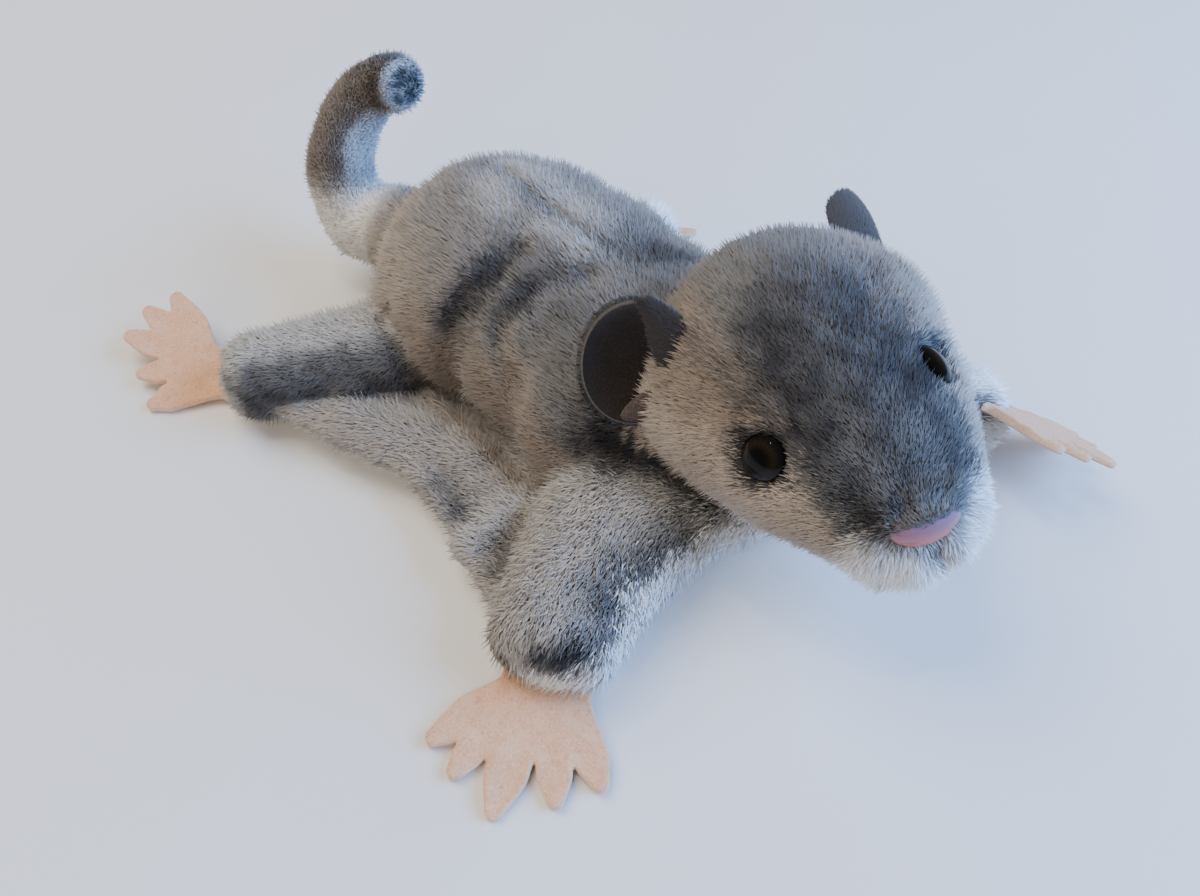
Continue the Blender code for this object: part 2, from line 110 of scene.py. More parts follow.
FLAP_RIGHT = (
    (-47, -8, 7, 31, 6, 7, 8),
    (-46, -50, 8, 24.5, 6, 8, 8),
    (-43, -75, 8, 21, 6, 8, 8),
    (-45, -98, 8, 23.5, 6, 8, 8),
    (-51, -136, 7, 28, 6, 7, 8),
)
FLAP_LEFT = (
    (52, -40, 7, 26, 6, 7, -8),
    (50, -68, 8, 20, 6, 8, -8),
    (50, -92, 8, 19, 6, 8, -8),
    (55, -116, 8, 21, 6, 8, -8),
    (58, -154, 7, 24, 6, 7, -8),
)
TAIL = (
    (1, -16, 24, 15, 14.5, 15, 0),
    (-1, 2, 22.5, 14.5, 14, 14, 0),
    (-4.5, 14, 23, 13.5, 13.5, 13.5, 0),
    (-5.5, 21, 32, 12, 12, 12, 0),
    (-2, 23.5, 44, 11, 11, 11, 0),
    (4, 23, 54, 10.2, 10.2, 10.2, 0),
    (10, 19.5, 61.5, 9.8, 9.8, 9.8, 0),
    (14, 13.5, 66, 9.6, 9.6, 9.6, 0),
    (14, 4, 68.7, 9.6, 9.6, 9.6, 0),
)
TAIL_TIP = (14.0, 1.2, 69.5)
TAIL_RINGS = 34
# Where along the torso a fold runs round it, how wide it is and how deep.
TORSO_FOLDS = ((58, 7, 2.6), (84, 6, 1.8))

# The head is written in its own frame, X to its left, -Y to its nose, then turned and placed.
HEAD_AT = (7.4, -173.1, 48.1)
HEAD_YAW = 22.4
HEAD_PITCH = 9.5
HEAD_ROLL = 12.8
HEAD = (
    (0, 58, 5.4, 27.7, 25.8, 23.5, 0),
    (0, 48, 6.4, 35, 31.8, 29.4, 0),
    (0, 39, 5.8, 40.9, 32.1, 31.3, 0),
    (0, 21, 4.8, 41.3, 33.7, 32, 0),
    (0, 7, 2.1, 36.9, 30.7, 29.7, 0),
    (0, -7, -0.9, 32.6, 25.7, 26.1, 0),
    (0, -19, -2.4, 27.1, 20.5, 21.2, 0),
    (0, -29, -5.1, 22.2, 14.2, 17.2, 0),
    (0, -38, -10, 18.5, 9, 15.5, 0),
)
EYE_AT = (25.0, -5.0, 13.2)
EYE_FACING = {-1: (-0.72, -0.40, 0.57), 1: (0.90, -0.18, 0.40)}
EYE_SUNK = {-1: 0.2, 1: 1.7}
EYE_RADIUS = 6.0
EYE_DOME = 3.3
EYE_BACK = 2.6
NOSE_AT = (-1.8, -35.0, -3.6)
NOSE_SIZE = (9.2, 4.8, 4.6)
NOSE_TILT = 28.0
NOSE_LIFT = 2.7
NOSE_ROLL = 9.0

# Each ear: its side, the two ends of its base in the head's frame, the way it stands out, half
# its length along the base, how far it reaches, the radius its cloth is rolled round, and 1
# where its suede looks to the front or -1 where it looks back.
EARS = {
    "ear_right": (-1, (40, 30, 8), (23, 33, 30), (0.71, 0.60, 0.43), 16.5, 22.0, 60.0, 1),
    "ear_left": (1, (39.6, 45.4, 1.3), (36.3, 41.9, 22.1), (0.32, 0.92, 0.21), 13.4, 18.6, 9.2, -1),
}
# How far an ear's root is tucked into the head, how deep its cup is, what share of that is left
# when it is rolled to less than what radius, how many degrees of a ball the cup spans, its
# cloth's thickness and that of its folds, the rings and sides of the cup, the rows and steps of
# a fold, and the tufts of an ear and of its one fold with pile.
EAR_TUCK = 6.0
EAR_CUP = 5.0
ROLLED_CUP = 0.35
ROLLED_RADIUS = 20
EAR_BOWL = 60.0
EAR_CLOTH = 1.1
FOLD_CLOTH = 0.8
EAR_RINGS = 24
EAR_SIDES = 72
FOLD_ROWS = 28
FOLD_STEPS = 10
EAR_TUFTS = 9000
FOLD_TUFTS = 2500

# Rings and sides of a stuffed part, an eye and the nose, and the seeds of the two coats.
PART_GRID = (64, 72)
EYE_GRID = (50, 64)
NOSE_GRID = (48, 80)
COAT_SEED = 5
EAR_SEED = 9

# The pile's soft blotches: how strong they are, how many waves they are the sum of, and about
# how long one is. Then the share of tufts that are dark flecks, and how many millimetres a
# tuft's marks stray over a border.
CLOUD_STRENGTH = 0.10
CLOUD_WAVES = 7
CLOUD_LENGTH = 15.0
FLECKS = 0.10
STRAY = 1.3

# The felt's thickness and the cells its worn edges are made of, and how round a finger's tip is
# and how much its sides swell. Then the hands and feet seen from above, in millimetres along the
# limb and across it: the corner at the wrist, tips and valleys in turn, the other corner.
FELT = 2.6
FELT_CELL = 0.45
FINGER_TIP = 2.5
FINGER_SWELL = 0.09
HAND = (
    *((1, -12), (23, -23.2), (19, -14.9), (29.4, -14), (18.1, -7.1), (35.6, -0.6)),
    *((17.4, 3.9), (28.2, 13.3), (15.1, 12.6), (20.8, 22.8), (8.5, 18.6), (-1, 12)),
)
FOOT = (
    *((5.9, -8), (30.5, -20), (21.8, -11), (36, -10.8), (23, -3.8), (36.5, 0)),
    *((18.3, 3.6), (24.3, 11.4), (12, 9.6), (13.8, 20.3), (3, 15.5), (-6, 8)),
)
# Each felt piece: its outline, which way round it is cut, how far it is tucked into the cuff,
# its wrist, the way its fingers point and the way its upper face looks.
FELT_PIECES = {
    "hand_right": (HAND, 1, 9, (-79.9, -150.6, 3.4), (-0.908, -0.419, -0.055), (-0.05, -0.02, 1)),
    "hand_left": (HAND, -1, 3, (71.6, -189.4, 18.6), (0.17, -0.98, -0.01), (0.61, 0.05, 0.80)),
    "foot_right": (FOOT, 1, 9, (-74.4, 5.9, 4.8), (-0.353, 0.931, 0.097), (-0.176, -0.168, 0.97)),
    "foot_left": (FOOT, -1, 9, (72, -51, 7), (-0.35, 0.93, -0.12), (0.05, 0.05, 1)),
}


def unit(vectors):
    """Vectors at length one."""
    return vectors / np.maximum(np.linalg.norm(vectors, axis=-1, keepdims=True), 1e-12)


def level(vectors, normals):
    """Vectors less what they have along the normals."""
    return vectors - (vectors * normals).sum(1, keepdims=True) * normals


def ease(low, high, values):
    """Goes smoothly from 0 at low to 1 at high."""
    share = np.clip((values - low) / (high - low), 0, 1)
    return share * share * (3 - 2 * share)


def head_axes():
    """The head's own left, tailward and up directions: a yaw, a pitch, then a roll."""
    yaw, pitch, roll = np.radians((HEAD_YAW, HEAD_PITCH, HEAD_ROLL))
    nose = np.array(
        (-math.sin(yaw) * math.cos(pitch), -math.cos(yaw) * math.cos(pitch), math.sin(pitch))
    )
    left = np.array((math.cos(yaw), -math.sin(yaw), 0))
    up = np.cross(nose, left)
    return np.array(
        (
            left * math.cos(roll) + up * math.sin(roll),
            -nose,
            up * math.cos(roll) - left * math.sin(roll),
        )
    )


HEAD_AXES = head_axes()


def from_head(points):
    """Points of the head's own frame in the toy's frame."""
    return np.asarray(points, float) @ HEAD_AXES + HEAD_AT


def to_head(points):
    """Points of the toy's frame in the head's own frame."""
    return (np.asarray(points, float) - HEAD_AT) @ HEAD_AXES.T


def mirrored(point, side):
    """A point of the toy's left side, or for side -1 its twin on the right."""
    return np.array((point[0] * side, point[1], point[2]), float)


def found_place():
    """Where the frame has the toy: the middle of the right eye's box less its own place."""
    low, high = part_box("eye_right")
    return np.array((low + high) / 2) / MM - from_head(mirrored(EYE_AT, -1))


TOY_AT = found_place()


def smooth(rows, count):
    """Rows read from a smooth cubic curve through the given rows, closer near both ends."""
    rows = np.array(rows, float)
    gaps = np.linalg.norm(np.diff(rows[:, :3], axis=0), axis=1)
    at = np.concatenate([[0], np.cumsum(gaps)])
    slopes = np.gradient(rows, at, axis=0)
    spread = np.linspace(0, 1, count)
    along = at[-1] * (0.5 * spread + 0.25 * (1 - np.cos(math.pi * spread)))
    i = np.clip(np.searchsorted(at, along, side="right") - 1, 0, len(gaps) - 1)
    span = gaps[i][:, None]
    s = ((along - at[i]) / gaps[i])[:, None]
    start = (2 * s**3 - 3 * s**2 + 1) * rows[i] + (s**3 - 2 * s**2 + s) * span * slopes[i]
    end = (3 * s**2 - 2 * s**3) * rows[i + 1] + (s**3 - s**2) * span * slopes[i + 1]
    return start + end, along


class Part:
    """One stuffed part: its stations, how its ends round off, and how its pile grows.

    deep is how far the cloth lies under the tips, pile how long the tufts are, rise how steeply
    they stand from 0 to 1, way whether they point along the stations (1) or back (-1), and
    outward how much they lean to the toy's left. folds are drawn in round it, flatter takes the
    roundness off its upper corners, and on_head says that it is written in the head's frame.
    """

    folds = ()
    flatter = 0.0
    on_head = False
    curled = False
    skew = 0.0
    outward = 0.0

    def __init__(self, stations, ends, deep, pile, rise, way, **options):
        self.stations = stations
        self.ends = ends
        self.deep = deep
        self.pile = pile
        self.rise = rise
        self.way = way
        for name, value in options.items():
            setattr(self, name, value)

    def frames(self, rows):
        """Unit vectors along, across and up for each section.

        The sections of a curled part follow its path untwisted; all others stand upright,
        square to the line from end to end or turned from it by skew degrees.
        """
        centres = rows[:, :3]
        along = unit(np.gradient(centres, axis=0))
        if not self.curled:
            x, y, _ = unit((centres[-1] - centres[0]) * (1, 1, 0))
            turn = math.radians(self.skew)
            along[:, 0] = x * math.cos(turn) - y * math.sin(turn)
            along[:, 1] = y * math.cos(turn) + x * math.sin(turn)
            along[:, 2] = 0
        across = np.zeros_like(along)
        side = np.cross(along[0], (0, 0, 1.0))
        for i, direction in enumerate(along):
            side = unit(side - (side @ direction) * direction)
            across[i] = side
        up = np.cross(across, along)
        roll = np.radians(rows[:, 6])[:, None]
        leaning = across * np.cos(roll) + up * np.sin(roll)
        return along, leaning, up * np.cos(roll) - across * np.sin(roll)

    def cloth(self, rings, sides):
        """The cloth under the pile: an ellipse carried along the stations.

        Its half width and height are the station's less the pile's depth, drawn in by a
        square root taper at both ends and by a bell curve at each fold.
        """
        rows, along = smooth(self.stations, rings)
        start = np.clip(along / self.ends[0], 0, 1)
        end = np.clip((along[-1] - along) / self.ends[1], 0, 1)
        taper = np.sqrt(1 - (1 - start) ** 2) * np.sqrt(1 - (1 - end) ** 2)
        direction, across, up = self.frames(rows)
        angle = np.linspace(0, 2 * math.pi, sides, endpoint=False)[None]
        height = np.where(np.sin(angle) > 0, rows[:, 4:5], rows[:, 5:6])
        shape = 1 - self.flatter * np.maximum(np.sin(angle), 0) * np.abs(np.cos(angle))
        swell = np.zeros_like(shape * along[:, None]) - self.deep
        for at, width, depth in self.folds:
            side = 0.35 + 0.65 * np.cos(angle) ** 2
            swell = swell - depth * side * np.exp(-(((along[:, None] - at) / width) ** 2))
        wide = (rows[:, 3:4] * shape + swell) * taper[:, None]
        tall = (height * shape + swell) * taper[:, None]
        reach = -self.deep * np.linspace(-1, 1, rings)[:, None, None] * direction[:, None]
        points = (
            rows[:, None, :3]
            + across[:, None] * (wide * np.cos(angle))[..., None]
            + up[:, None] * (tall * np.sin(angle))[..., None]
            + reach
        )
        return from_head(points) if self.on_head else points

    def place_of(self, points):
        """For each point its nearest station: how deep it lies as a share of the section, its
        share of the way along, its angle round the section, and the station's way along."""
        rows, along = smooth(self.stations, 48)
        own = to_head(points) if self.on_head else points
        direction, across, up = self.frames(rows)
        nearest = np.zeros(len(own), int)
        best = np.full(len(own), np.inf)
        for i, centre in enumerate(rows[:, :3]):
            away = ((own - centre) ** 2).sum(1)
            nearer = away < best
            best[nearer] = away[nearer]
            nearest[nearer] = i
        offset = own - rows[nearest, :3]
        a = (offset * across[nearest]).sum(1)
        b = (offset * up[nearest]).sum(1)
        c = (offset * direction[nearest]).sum(1)
        height = np.where(b > 0, rows[nearest, 4], rows[nearest, 5])
        share = np.sqrt((a / rows[nearest, 3]) ** 2 + (b / height) ** 2 + (c / 12) ** 2)
        angle = np.arctan2(b / height, a / rows[nearest, 3])
        way = unit(np.gradient(rows[:, :3], axis=0))[nearest]
        if self.on_head:
            way = way @ HEAD_AXES
        return share, along[nearest] / along[-1], angle, way


PARTS = {
    "head": Part(HEAD, (20, 9), 1.5, 2.9, 0.52, -1, flatter=0.12, on_head=True),
    "neck": Part(NECK, (10, 10), 1.6, 3.2, 0.52, -1),
    "torso": Part(TORSO, (22, 12), 1.6, 3.2, 0.52, -1, folds=TORSO_FOLDS),
    "arm_right": Part(ARM_RIGHT, (12, 8), 1.5, 3.3, 0.40, 1, skew=20.0),
    "arm_left": Part(ARM_LEFT, (12, 8), 1.5, 3.3, 0.40, 1),
    "leg_right": Part(LEG_RIGHT, (14, 9), 1.5, 2.9, 0.54, 1),
    "leg_left": Part(LEG_LEFT, (14, 9), 1.5, 2.9, 0.54, 1),
    "flap_right": Part(FLAP_RIGHT, (10, 10), 1.5, 3.0, 0.52, -1, outward=-1.4),
    "flap_left": Part(FLAP_LEFT, (10, 10), 1.5, 3.0, 0.52, -1, outward=1.4),
    "tail": Part(TAIL, (10, 3.5), 1.1, 2.0, 0.66, 1, curled=True),
}

# What the pile's colour is made of: how dark, how white and how warm it is.
TONES = {
    "grey": (0.12, 0.0, 0.20),
    "silver": (0.0, 0.35, 0.05),
    "slate": (0.55, 0.0, 0.0),
    "charcoal": (1.0, 0.0, 0.0),
    "beige": (0.0, 0.12, 0.95),
    "taupe": (0.66, 0.0, 0.85),
    "cream": (0.0, 0.92, 0.60),
    "white": (0.0, 1.0, 0.0),
}

# The markings, painted in this order as strokes: a tone, how strong and how wide the stroke is, and
# the points it runs through. Some of the toy's strokes paint light and shade, as noted at them. The
# head's are in its own frame and are painted on both sides.
HEAD_MARKS = (
    ("taupe", 0.75, 10, ((26, 40, 28), (28, 22, 26), (26, 8, 24), (24, 0, 21))),
    ("charcoal", 0.55, 13, ((0, 16, 34), (0, 5, 30), (0, -8, 24))),
    ("charcoal", 0.60, 7, ((12, 12, 32), (14, 0, 26), (14, -8, 20))),
    ("charcoal", 0.60, 4.5, ((13, -9, 20), (14.5, -17, 15), (14.5, -23, 10), (13, -29, 5.5))),
    ("charcoal", 0.35, 4.5, ((0, -18, 18), (0, -28, 11))),
    ("charcoal", 0.60, 1.6, ((24, 30, 31), (23, 16, 28.5), (22, 8, 25.5), (20, -2, 21))),
    ("charcoal", 0.55, 1.3, ((27, 24, 28), (26, 14, 26))),
    ("charcoal", 0.60, 1.4, ((25, 10, 25), (24, 3, 22))),
    ("charcoal", 0.75, 1.6, ((19, -8, 17), (17, -16, 14))),
    ("charcoal", 0.75, 1.3, ((21, -16, 10), (20, -23, 6))),
    ("charcoal", 0.85, 1.3, ((2, -30, 8), (3, -32, 6))),
    ("charcoal", 0.85, 1.3, ((6, -29, 8), (7, -31, 6))),
    ("charcoal", 0.85, 1.4, ((10, -28, 7), (11, -30, 5))),
    ("charcoal", 0.80, 1.3, ((13.5, -26, 6.5), (14.5, -28, 4.5))),
    ("charcoal", 0.80, 1.6, ((15, -30, 2), (17.5, -27, 1))),
    ("white", 1.0, 6.0, ((15, -32, -8), (8, -36, -12), (4, -36, -14))),
    ("white", 1.0, 9, ((16, -26, -18), (0, -28, -22))),
    ("charcoal", 0.75, 1.5, ((0, -38, -7.5), (0, -38, -12))),
)
TOY_MARKS = (
    ("beige", 0.5, 16, ((-22, -30, 40), (0, -20, 48), (22, -32, 42))),
    # Painted shade: darker taupe along the right flank, where it turns from the light.
    ("taupe", 0.75, 9, ((-36, -60, 34), (-36, -75, 32), (-38, -98, 28))),
    ("slate", 0.35, 16, ((8, -30, 56), (10, -60, 60), (14, -96, 58))),
    # Painted highlight: silver patches along the back's ridge, where the window light falls on it.
    ("silver", 0.55, 6.0, ((5, -44, 61), (1, -54, 61))),
    ("silver", 0.55, 6.0, ((20, -40, 58), (18, -56, 60))),
    ("silver", 0.55, 5.5, ((17, -66, 60), (15, -76, 61))),
    ("silver", 0.55, 5.5, ((3, -70, 60.5), (5, -82, 59))),
    ("silver", 0.55, 5, ((18, -84, 58), (20, -90, 56))),
    ("slate", 0.6, 7, ((-12, -98, 54), (-24, -104, 46), (-31, -110, 36))),
    # Partly dark roots where the pile parts, partly painted shade: dark bars along the waist's
    # creases.
    ("charcoal", 0.35, 9, ((-29, -68, 42), (-22, -72, 49), (-8, -76, 57))),
    ("charcoal", 0.85, 5.0, ((-30, -65, 42), (-25, -66, 48), (-16, -67.9, 55))),
    ("charcoal", 0.40, 4.0, ((-16, -67.9, 55), (-8, -69.9, 58.6))),
    ("charcoal", 0.60, 4.2, ((-27, -79.5, 47), (-16, -81.5, 54))),
    ("charcoal", 0.35, 4.0, ((-16, -82.4, 54), (-8, -86, 57), (-1, -91.5, 58))),
    ("slate", 0.5, 7, ((-26, -92, 46), (-14, -96, 54))),
    ("slate", 0.7, 1.6, ((14.5, -38, 60), (10.4, -55, 61), (9.5, -75, 61), (13.5, -100, 59))),
    # Partly dorsal stripe, partly painted shade: dark at the top of the neck behind the head.
    ("charcoal", 0.75, 8, ((20, -91, 56), (24, -101, 53), (27, -106, 50))),
    ("charcoal", 1.0, 9.5, ((-27, -121, 35), (-21, -134, 31), (-18, -146, 22), (-14, -154, 14))),
    ("charcoal", 1.0, 5.0, ((-73, -156, 20), (-79, -151, 21))),
    ("charcoal", 0.5, 3, ((-71, -159, 20), (-66, -158, 21))),
    ("slate", 0.9, 9, ((-58, -152, 22), (-46, -152, 23), (-30, -154, 20))),
    ("white", 1.0, 12, ((66, -184, 20), (76, -184, 18), (74, -190, 10))),
    ("charcoal", 0.9, 3.6, ((62.5, -183, 22.5), (65.5, -188, 22))),
    ("silver", 0.7, 5, ((-82, 0, 20), (-86, -8, 18), (-84, -18, 12))),
    ("charcoal", 0.6, 3, ((-79, -12, 22), (-79, -18, 19))),
    # Partly dark markings, partly painted shade: charcoal and slate along the flap's two creases.
    ("charcoal", 0.6, 2.6, ((-57, -94, 14), (-61, -99, 14))),
    ("charcoal", 0.5, 2.6, ((-62, -116, 14), (-66, -121, 14))),
    ("slate", 0.7, 5, ((-58, -88, 14), (-62, -100, 14))),
    ("slate", 0.7, 5, ((-58, -118, 14), (-66, -122, 13))),
    # Painted highlight: silver along the flap's raised ridge.
    ("silver", 0.6, 4, ((-46, -108, 14), (-56, -107, 14), (-68, -108, 13))),
    # Painted shade: taupe along the crease where the flap meets the body.
    ("taupe", 0.8, 3.5, ((-39, -70, 13), (-40, -90, 13), (-42, -106, 13))),
    ("white", 0.95, 12, ((64, -54, 24), (74, -60, 18))),
)


# Where the dark crown of the head ends: places from the nose back, and how far out it reaches
# there. Then the white strip in front of the arms: places from the right hand to the left one,
# and how high it reaches there.
CROWN = (
    (-34, -32, -27, -20, -14, -8, -1, 7, 16, 25, 36, 50),
    (12, 16, 19, 20.7, 20, 18.6, 19.4, 21, 22, 21.6, 19, 18),
)
ARM_STRIP = ((-80, -68, -52, -35, -18, 20), (15, 17, 22, 21.5, 21, 19))


def stroke(points, normals, path, width):
    """1 on the line through path, falling off smoothly to 0 at 1.7 widths away.

    The distance is measured along the surface: the share of it that runs along the point's
    normal counts only a fifth, up to a depth of 8 mm.
    """
    path = np.array(path, float)
    nearest = np.full(len(points), np.inf)
    for a, b in zip(path, path[1:]):
        line = b - a
        share = np.clip((points - a) @ line / (line @ line), 0, 1)
        offset = points - a - share[:, None] * line
        deep = (offset * normals).sum(1, keepdims=True)
        away = np.linalg.norm(offset - 0.8 * deep * normals, axis=1)
        away = np.where(np.abs(deep[:, 0]) > 8, np.inf, away)
        nearest = np.minimum(nearest, away)
    return 1 - ease(0.1 * width, 1.7 * width, nearest)


def lattice(seed):
    """A block of fixed random numbers that noise reads."""
    return np.random.default_rng(seed).random((32, 32, 32)) * 2 - 1


def noise(points, size, table):
    """Smooth noise from -1 to 1: random values at the corners of cubes of the given size,
    blended between them with an eased share along each axis."""
    at = points / size + 400
    low = np.floor(at).astype(int)
    x, y, z = np.moveaxis(ease(0, 1, at - low), 1, 0)
    i, j, k = np.moveaxis(low % 32, 1, 0)
    i2, j2, k2 = (i + 1) % 32, (j + 1) % 32, (k + 1) % 32

    def edge(j, k):
        return table[i, j, k] * (1 - x) + table[i2, j, k] * x

    lower = edge(j, k) * (1 - y) + edge(j2, k) * y
    upper = edge(j, k2) * (1 - y) + edge(j2, k2) * y
    return lower * (1 - z) + upper * z


TABLES = [lattice(seed) for seed in (11, 23, 37, 41)]


def noise_vectors(points, size):
    """Three noises at once, as a vector for each point."""
    return np.stack([noise(points, size, table) for table in TABLES[:3]], axis=1)


def uphill(points, size, table):
    """The slope of the noise at each point, by small steps along each axis."""
    step = size * 0.15
    middle = noise(points, size, table)
    slopes = [noise(points + step * axis, size, table) - middle for axis in np.eye(3)]
    return np.stack(slopes, axis=1) / 0.15


class Field:
    """What the cloth and the pile need to know at points: which part they are on, the way the
    pile lies, and its marks."""

    def __init__(self, points, normals):
        self.points = points
        self.normals = normals
        self.head = to_head(points)
        self.head_normals = normals @ HEAD_AXES.T
        names = list(PARTS)
        found = [PARTS[name].place_of(points) for name in names]
        shares = np.stack([row[0] for row in found], axis=1)
        near = np.exp(-9 * (shares - shares.min(1, keepdims=True)))
        near /= near.sum(1, keepdims=True)
        self.near = dict(zip(names, near.T))
        self.owner = np.argmin(shares, axis=1)
        self.along = np.stack([row[1] for row in found], axis=1)
        self.angle = np.stack([row[2] for row in found], axis=1)
        self.lie = self.lie_of(names, found)

    def blend(self, what):
        """A part's number, blended between the parts near each point."""
        return sum(self.near[name] * getattr(PARTS[name], what) for name in PARTS)

    def lie_of(self, names, found):
        """Each part's own lie blended by nearness, pressed flat to the surface.

        On the head it runs away from the nose; on a flap also outward.
        """
        lie = np.zeros_like(self.points)
        for name, row in zip(names, found):
            part = PARTS[name]
            way = row[3] * part.way
            if part.on_head:
                way = unit(self.head - (0, -46, -4)) @ HEAD_AXES
                chin = ease(-24, -33, self.head[:, 1]) * ease(2, -8, self.head[:, 2])
                way = way + chin[:, None] * (-1.6 * HEAD_AXES[2])
            way = way + np.array((part.outward, 0, 0))
            lie += self.near[name][:, None] * unit(way)
        return unit(level(lie, self.normals))

    def chin(self):
        """How far each point is on the chin, from 0 to 1."""
        low = ease(-26, -33, self.head[:, 1]) * ease(-2, -9, self.head[:, 2])
        return low * self.near["head"]

    def marks(self, stray=0.0):
        """The pile's tone at each point, with some light and shade painted in: first the regions,
        then the strokes over them.

        All are read at places moved a little by noise, so that their edges are ragged, and by
        each tuft's own stray, so that dark and light tufts mix at them.
        """
        wander = noise_vectors(self.points, 4.5) * 1.6 + noise_vectors(self.points, 1.5) * 0.8
        points = self.points + wander + stray
        head = to_head(points)
        facing = self.normals + 0.06 * wander
        near = self.near
        marks = np.tile(TONES["grey"], (len(points), 1))

        def paint(tone, share):
            marks[:] += (np.array(TONES[tone]) - marks) * np.asarray(share)[:, None]

        legs = near["leg_right"] + near["leg_left"]
        arms = near["arm_right"] + near["arm_left"]
        flaps = near["flap_right"] + near["flap_left"]
        body = near["torso"] + near["neck"]
        low = ease(0.85, 0.25, facing[:, 2])
        # The body's sides: beige, their own warmer colour, then painted shade, darker taupe the
        # further they turn from facing up.
        paint("beige", 0.5 * body * low)
        paint("taupe", 0.8 * body * ease(0.68, 0.15, facing[:, 2]))
        paint("beige", 0.45 * flaps)
        paint("silver", 0.25 * flaps)
        # Painted light: the arms paler silver on their upper sides, where the light falls.
        paint("silver", 0.8 * arms * ease(0.0, 0.5, facing[:, 2]))
        paint("beige", 0.3 * arms)
        # Painted light: the arms paler on the sides turned to the front, toward the window lamp.
        paint("silver", 0.4 * arms * ease(-0.2, -0.6, facing[:, 1]))
        # Painted light: the legs paler silver on their upper sides, where the light falls.
        paint("silver", 0.8 * legs * ease(0.2, 0.6, facing[:, 2]))
        # Partly dark roots, partly painted shade: the right leg dark on its side that faces
        # forward.
        paint("charcoal", 0.75 * near["leg_right"] * ease(-0.1, -0.5, facing[:, 1]))
        self.paint_tail(paint, facing, near["tail"])
        on_head = ease(0.25, 0.6, near["head"])
        paint("slate", 0.55 * on_head)
        paint("slate", 0.60 * on_head * ease(18, -6, head[:, 1]))
        border = np.interp(head[:, 1], *CROWN)
        border += 3.5 * ease(-6, 8, head[:, 0]) * ease(-24, -8, head[:, 1])
        cheek = ease(-3.5, 3.5, np.abs(head[:, 0]) - border) * on_head
        paint("beige", cheek * ease(44, 30, head[:, 1]))
        paint("taupe", 0.85 * cheek * ease(44, 30, head[:, 1]) * ease(10, 22, head[:, 2]))
        paint("silver", 0.5 * cheek * ease(-4, -16, head[:, 2]))
        for tone, strength, width, path in TOY_MARKS:
            share = stroke(points, self.normals, path, width)
            paint(tone, strength * share * (1 - on_head))
        strip = np.interp(points[:, 0], *ARM_STRIP)
        front = ease(1.2, -1.2, points[:, 2] - strip) * ease(0.0, -0.35, facing[:, 1])
        paint("white", front * (arms + near["torso"] * (points[:, 1] < -146)).clip(0, 1))
        paint("cream", 0.85 * flaps * ease(-0.35, -0.7, facing[:, 2]))
        paint("white", ease(-0.5, -0.85, facing[:, 2]) * (1 - 0.3 * near["tail"]))
        fold = np.where(head[:, :1] < 0, -1, 1) * (1, 0, 0) + (0, 1, 1)
        for tone, strength, width, path in HEAD_MARKS:
            share = stroke(head * fold, self.head_normals * fold, path, width)
            paint(tone, strength * share * on_head)
        for side in (-1, 1):
            centre, axes = eye_place(side)
            own = (head - centre) @ axes.T
            away = np.hypot(own[:, 0], own[:, 1] + 0.7)
            paint("charcoal", 0.95 * ease(9.4, 6.6, away) * (np.abs(own[:, 2]) < 12) * on_head)
        return marks

    def paint_tail(self, paint, facing, tail):
        """Cream at the root with faint rings; past it painted light and shade, silver on the inside
        of the bend toward the window lamp and grey-brown on the outside turned from it; and at the
        tip a dark disc in a silver ring."""
        way = self.along[:, list(PARTS).index("tail")] + 0.02 * noise(self.points, 3.0, TABLES[2])
        way = way + 0.01 * noise(self.points, 1.1, TABLES[0])
        root = ease(0.56, 0.42, way)
        paint("cream", tail * root)
        rings = np.sin(2 * math.pi * TAIL_RINGS * way)
        paint("taupe", 0.22 * tail * root * ease(-0.2, 0.6, rings))
        turned_from_window = ease(-0.15, 0.15, facing @ unit(np.array((-0.7, 0.6, 0.35))))
        # Painted light and shade: silver on the side toward the window lamp, taupe and slate where
        # it turns away.
        paint("silver", tail * (1 - root))
        paint("taupe", 0.95 * tail * (1 - root) * turned_from_window)
        paint("slate", 0.35 * tail * (1 - root) * turned_from_window)
        away = np.linalg.norm(self.points - TAIL_TIP, axis=1)
        fleck = np.clip(0.8 + 0.8 * noise(self.points, 1.8, TABLES[1]), 0, 1)
        paint("silver", 0.95 * tail * ease(11, 9.5, away))
        paint("charcoal", 0.9 * tail * ease(8.4, 7.2, away) * fleck)


def write_mesh(name, points, faces, normals=None):
    """A mesh in metres from points in the toy's millimetres and faces of equal size. Where
    normals are given, the mesh is shaded by them."""
    mesh = bpy.data.meshes.new(name)
    faces = np.asarray(faces, np.int32)
    count, corners = faces.shape
    mesh.vertices.add(len(points))
    move_points(mesh, points)
    mesh.loops.add(count * corners)
    mesh.loops.foreach_set("vertex_index", faces.ravel())
    mesh.polygons.add(count)
    mesh.polygons.foreach_set("loop_start", np.arange(0, count * corners, corners, dtype=np.int32))
    mesh.update(calc_edges=True)
    mesh.shade_smooth()
    if normals is not None:
        mesh.normals_split_custom_set_from_vertices(normals.astype(np.float32))
    return mesh


def move_points(mesh, points):
    """Moves the mesh's points to places in the toy's millimetres."""
    place = ((np.asarray(points, float) + TOY_AT) * MM).astype(np.float32)
    mesh.vertices.foreach_set("co", place.ravel())


def read_rows(items, name):
    """A vector of each vertex or normal of a mesh, as rows."""
    rows = np.zeros(len(items) * 3, np.float32)
    items.foreach_get(name, rows)
    return rows.reshape(-1, 3).astype(float)


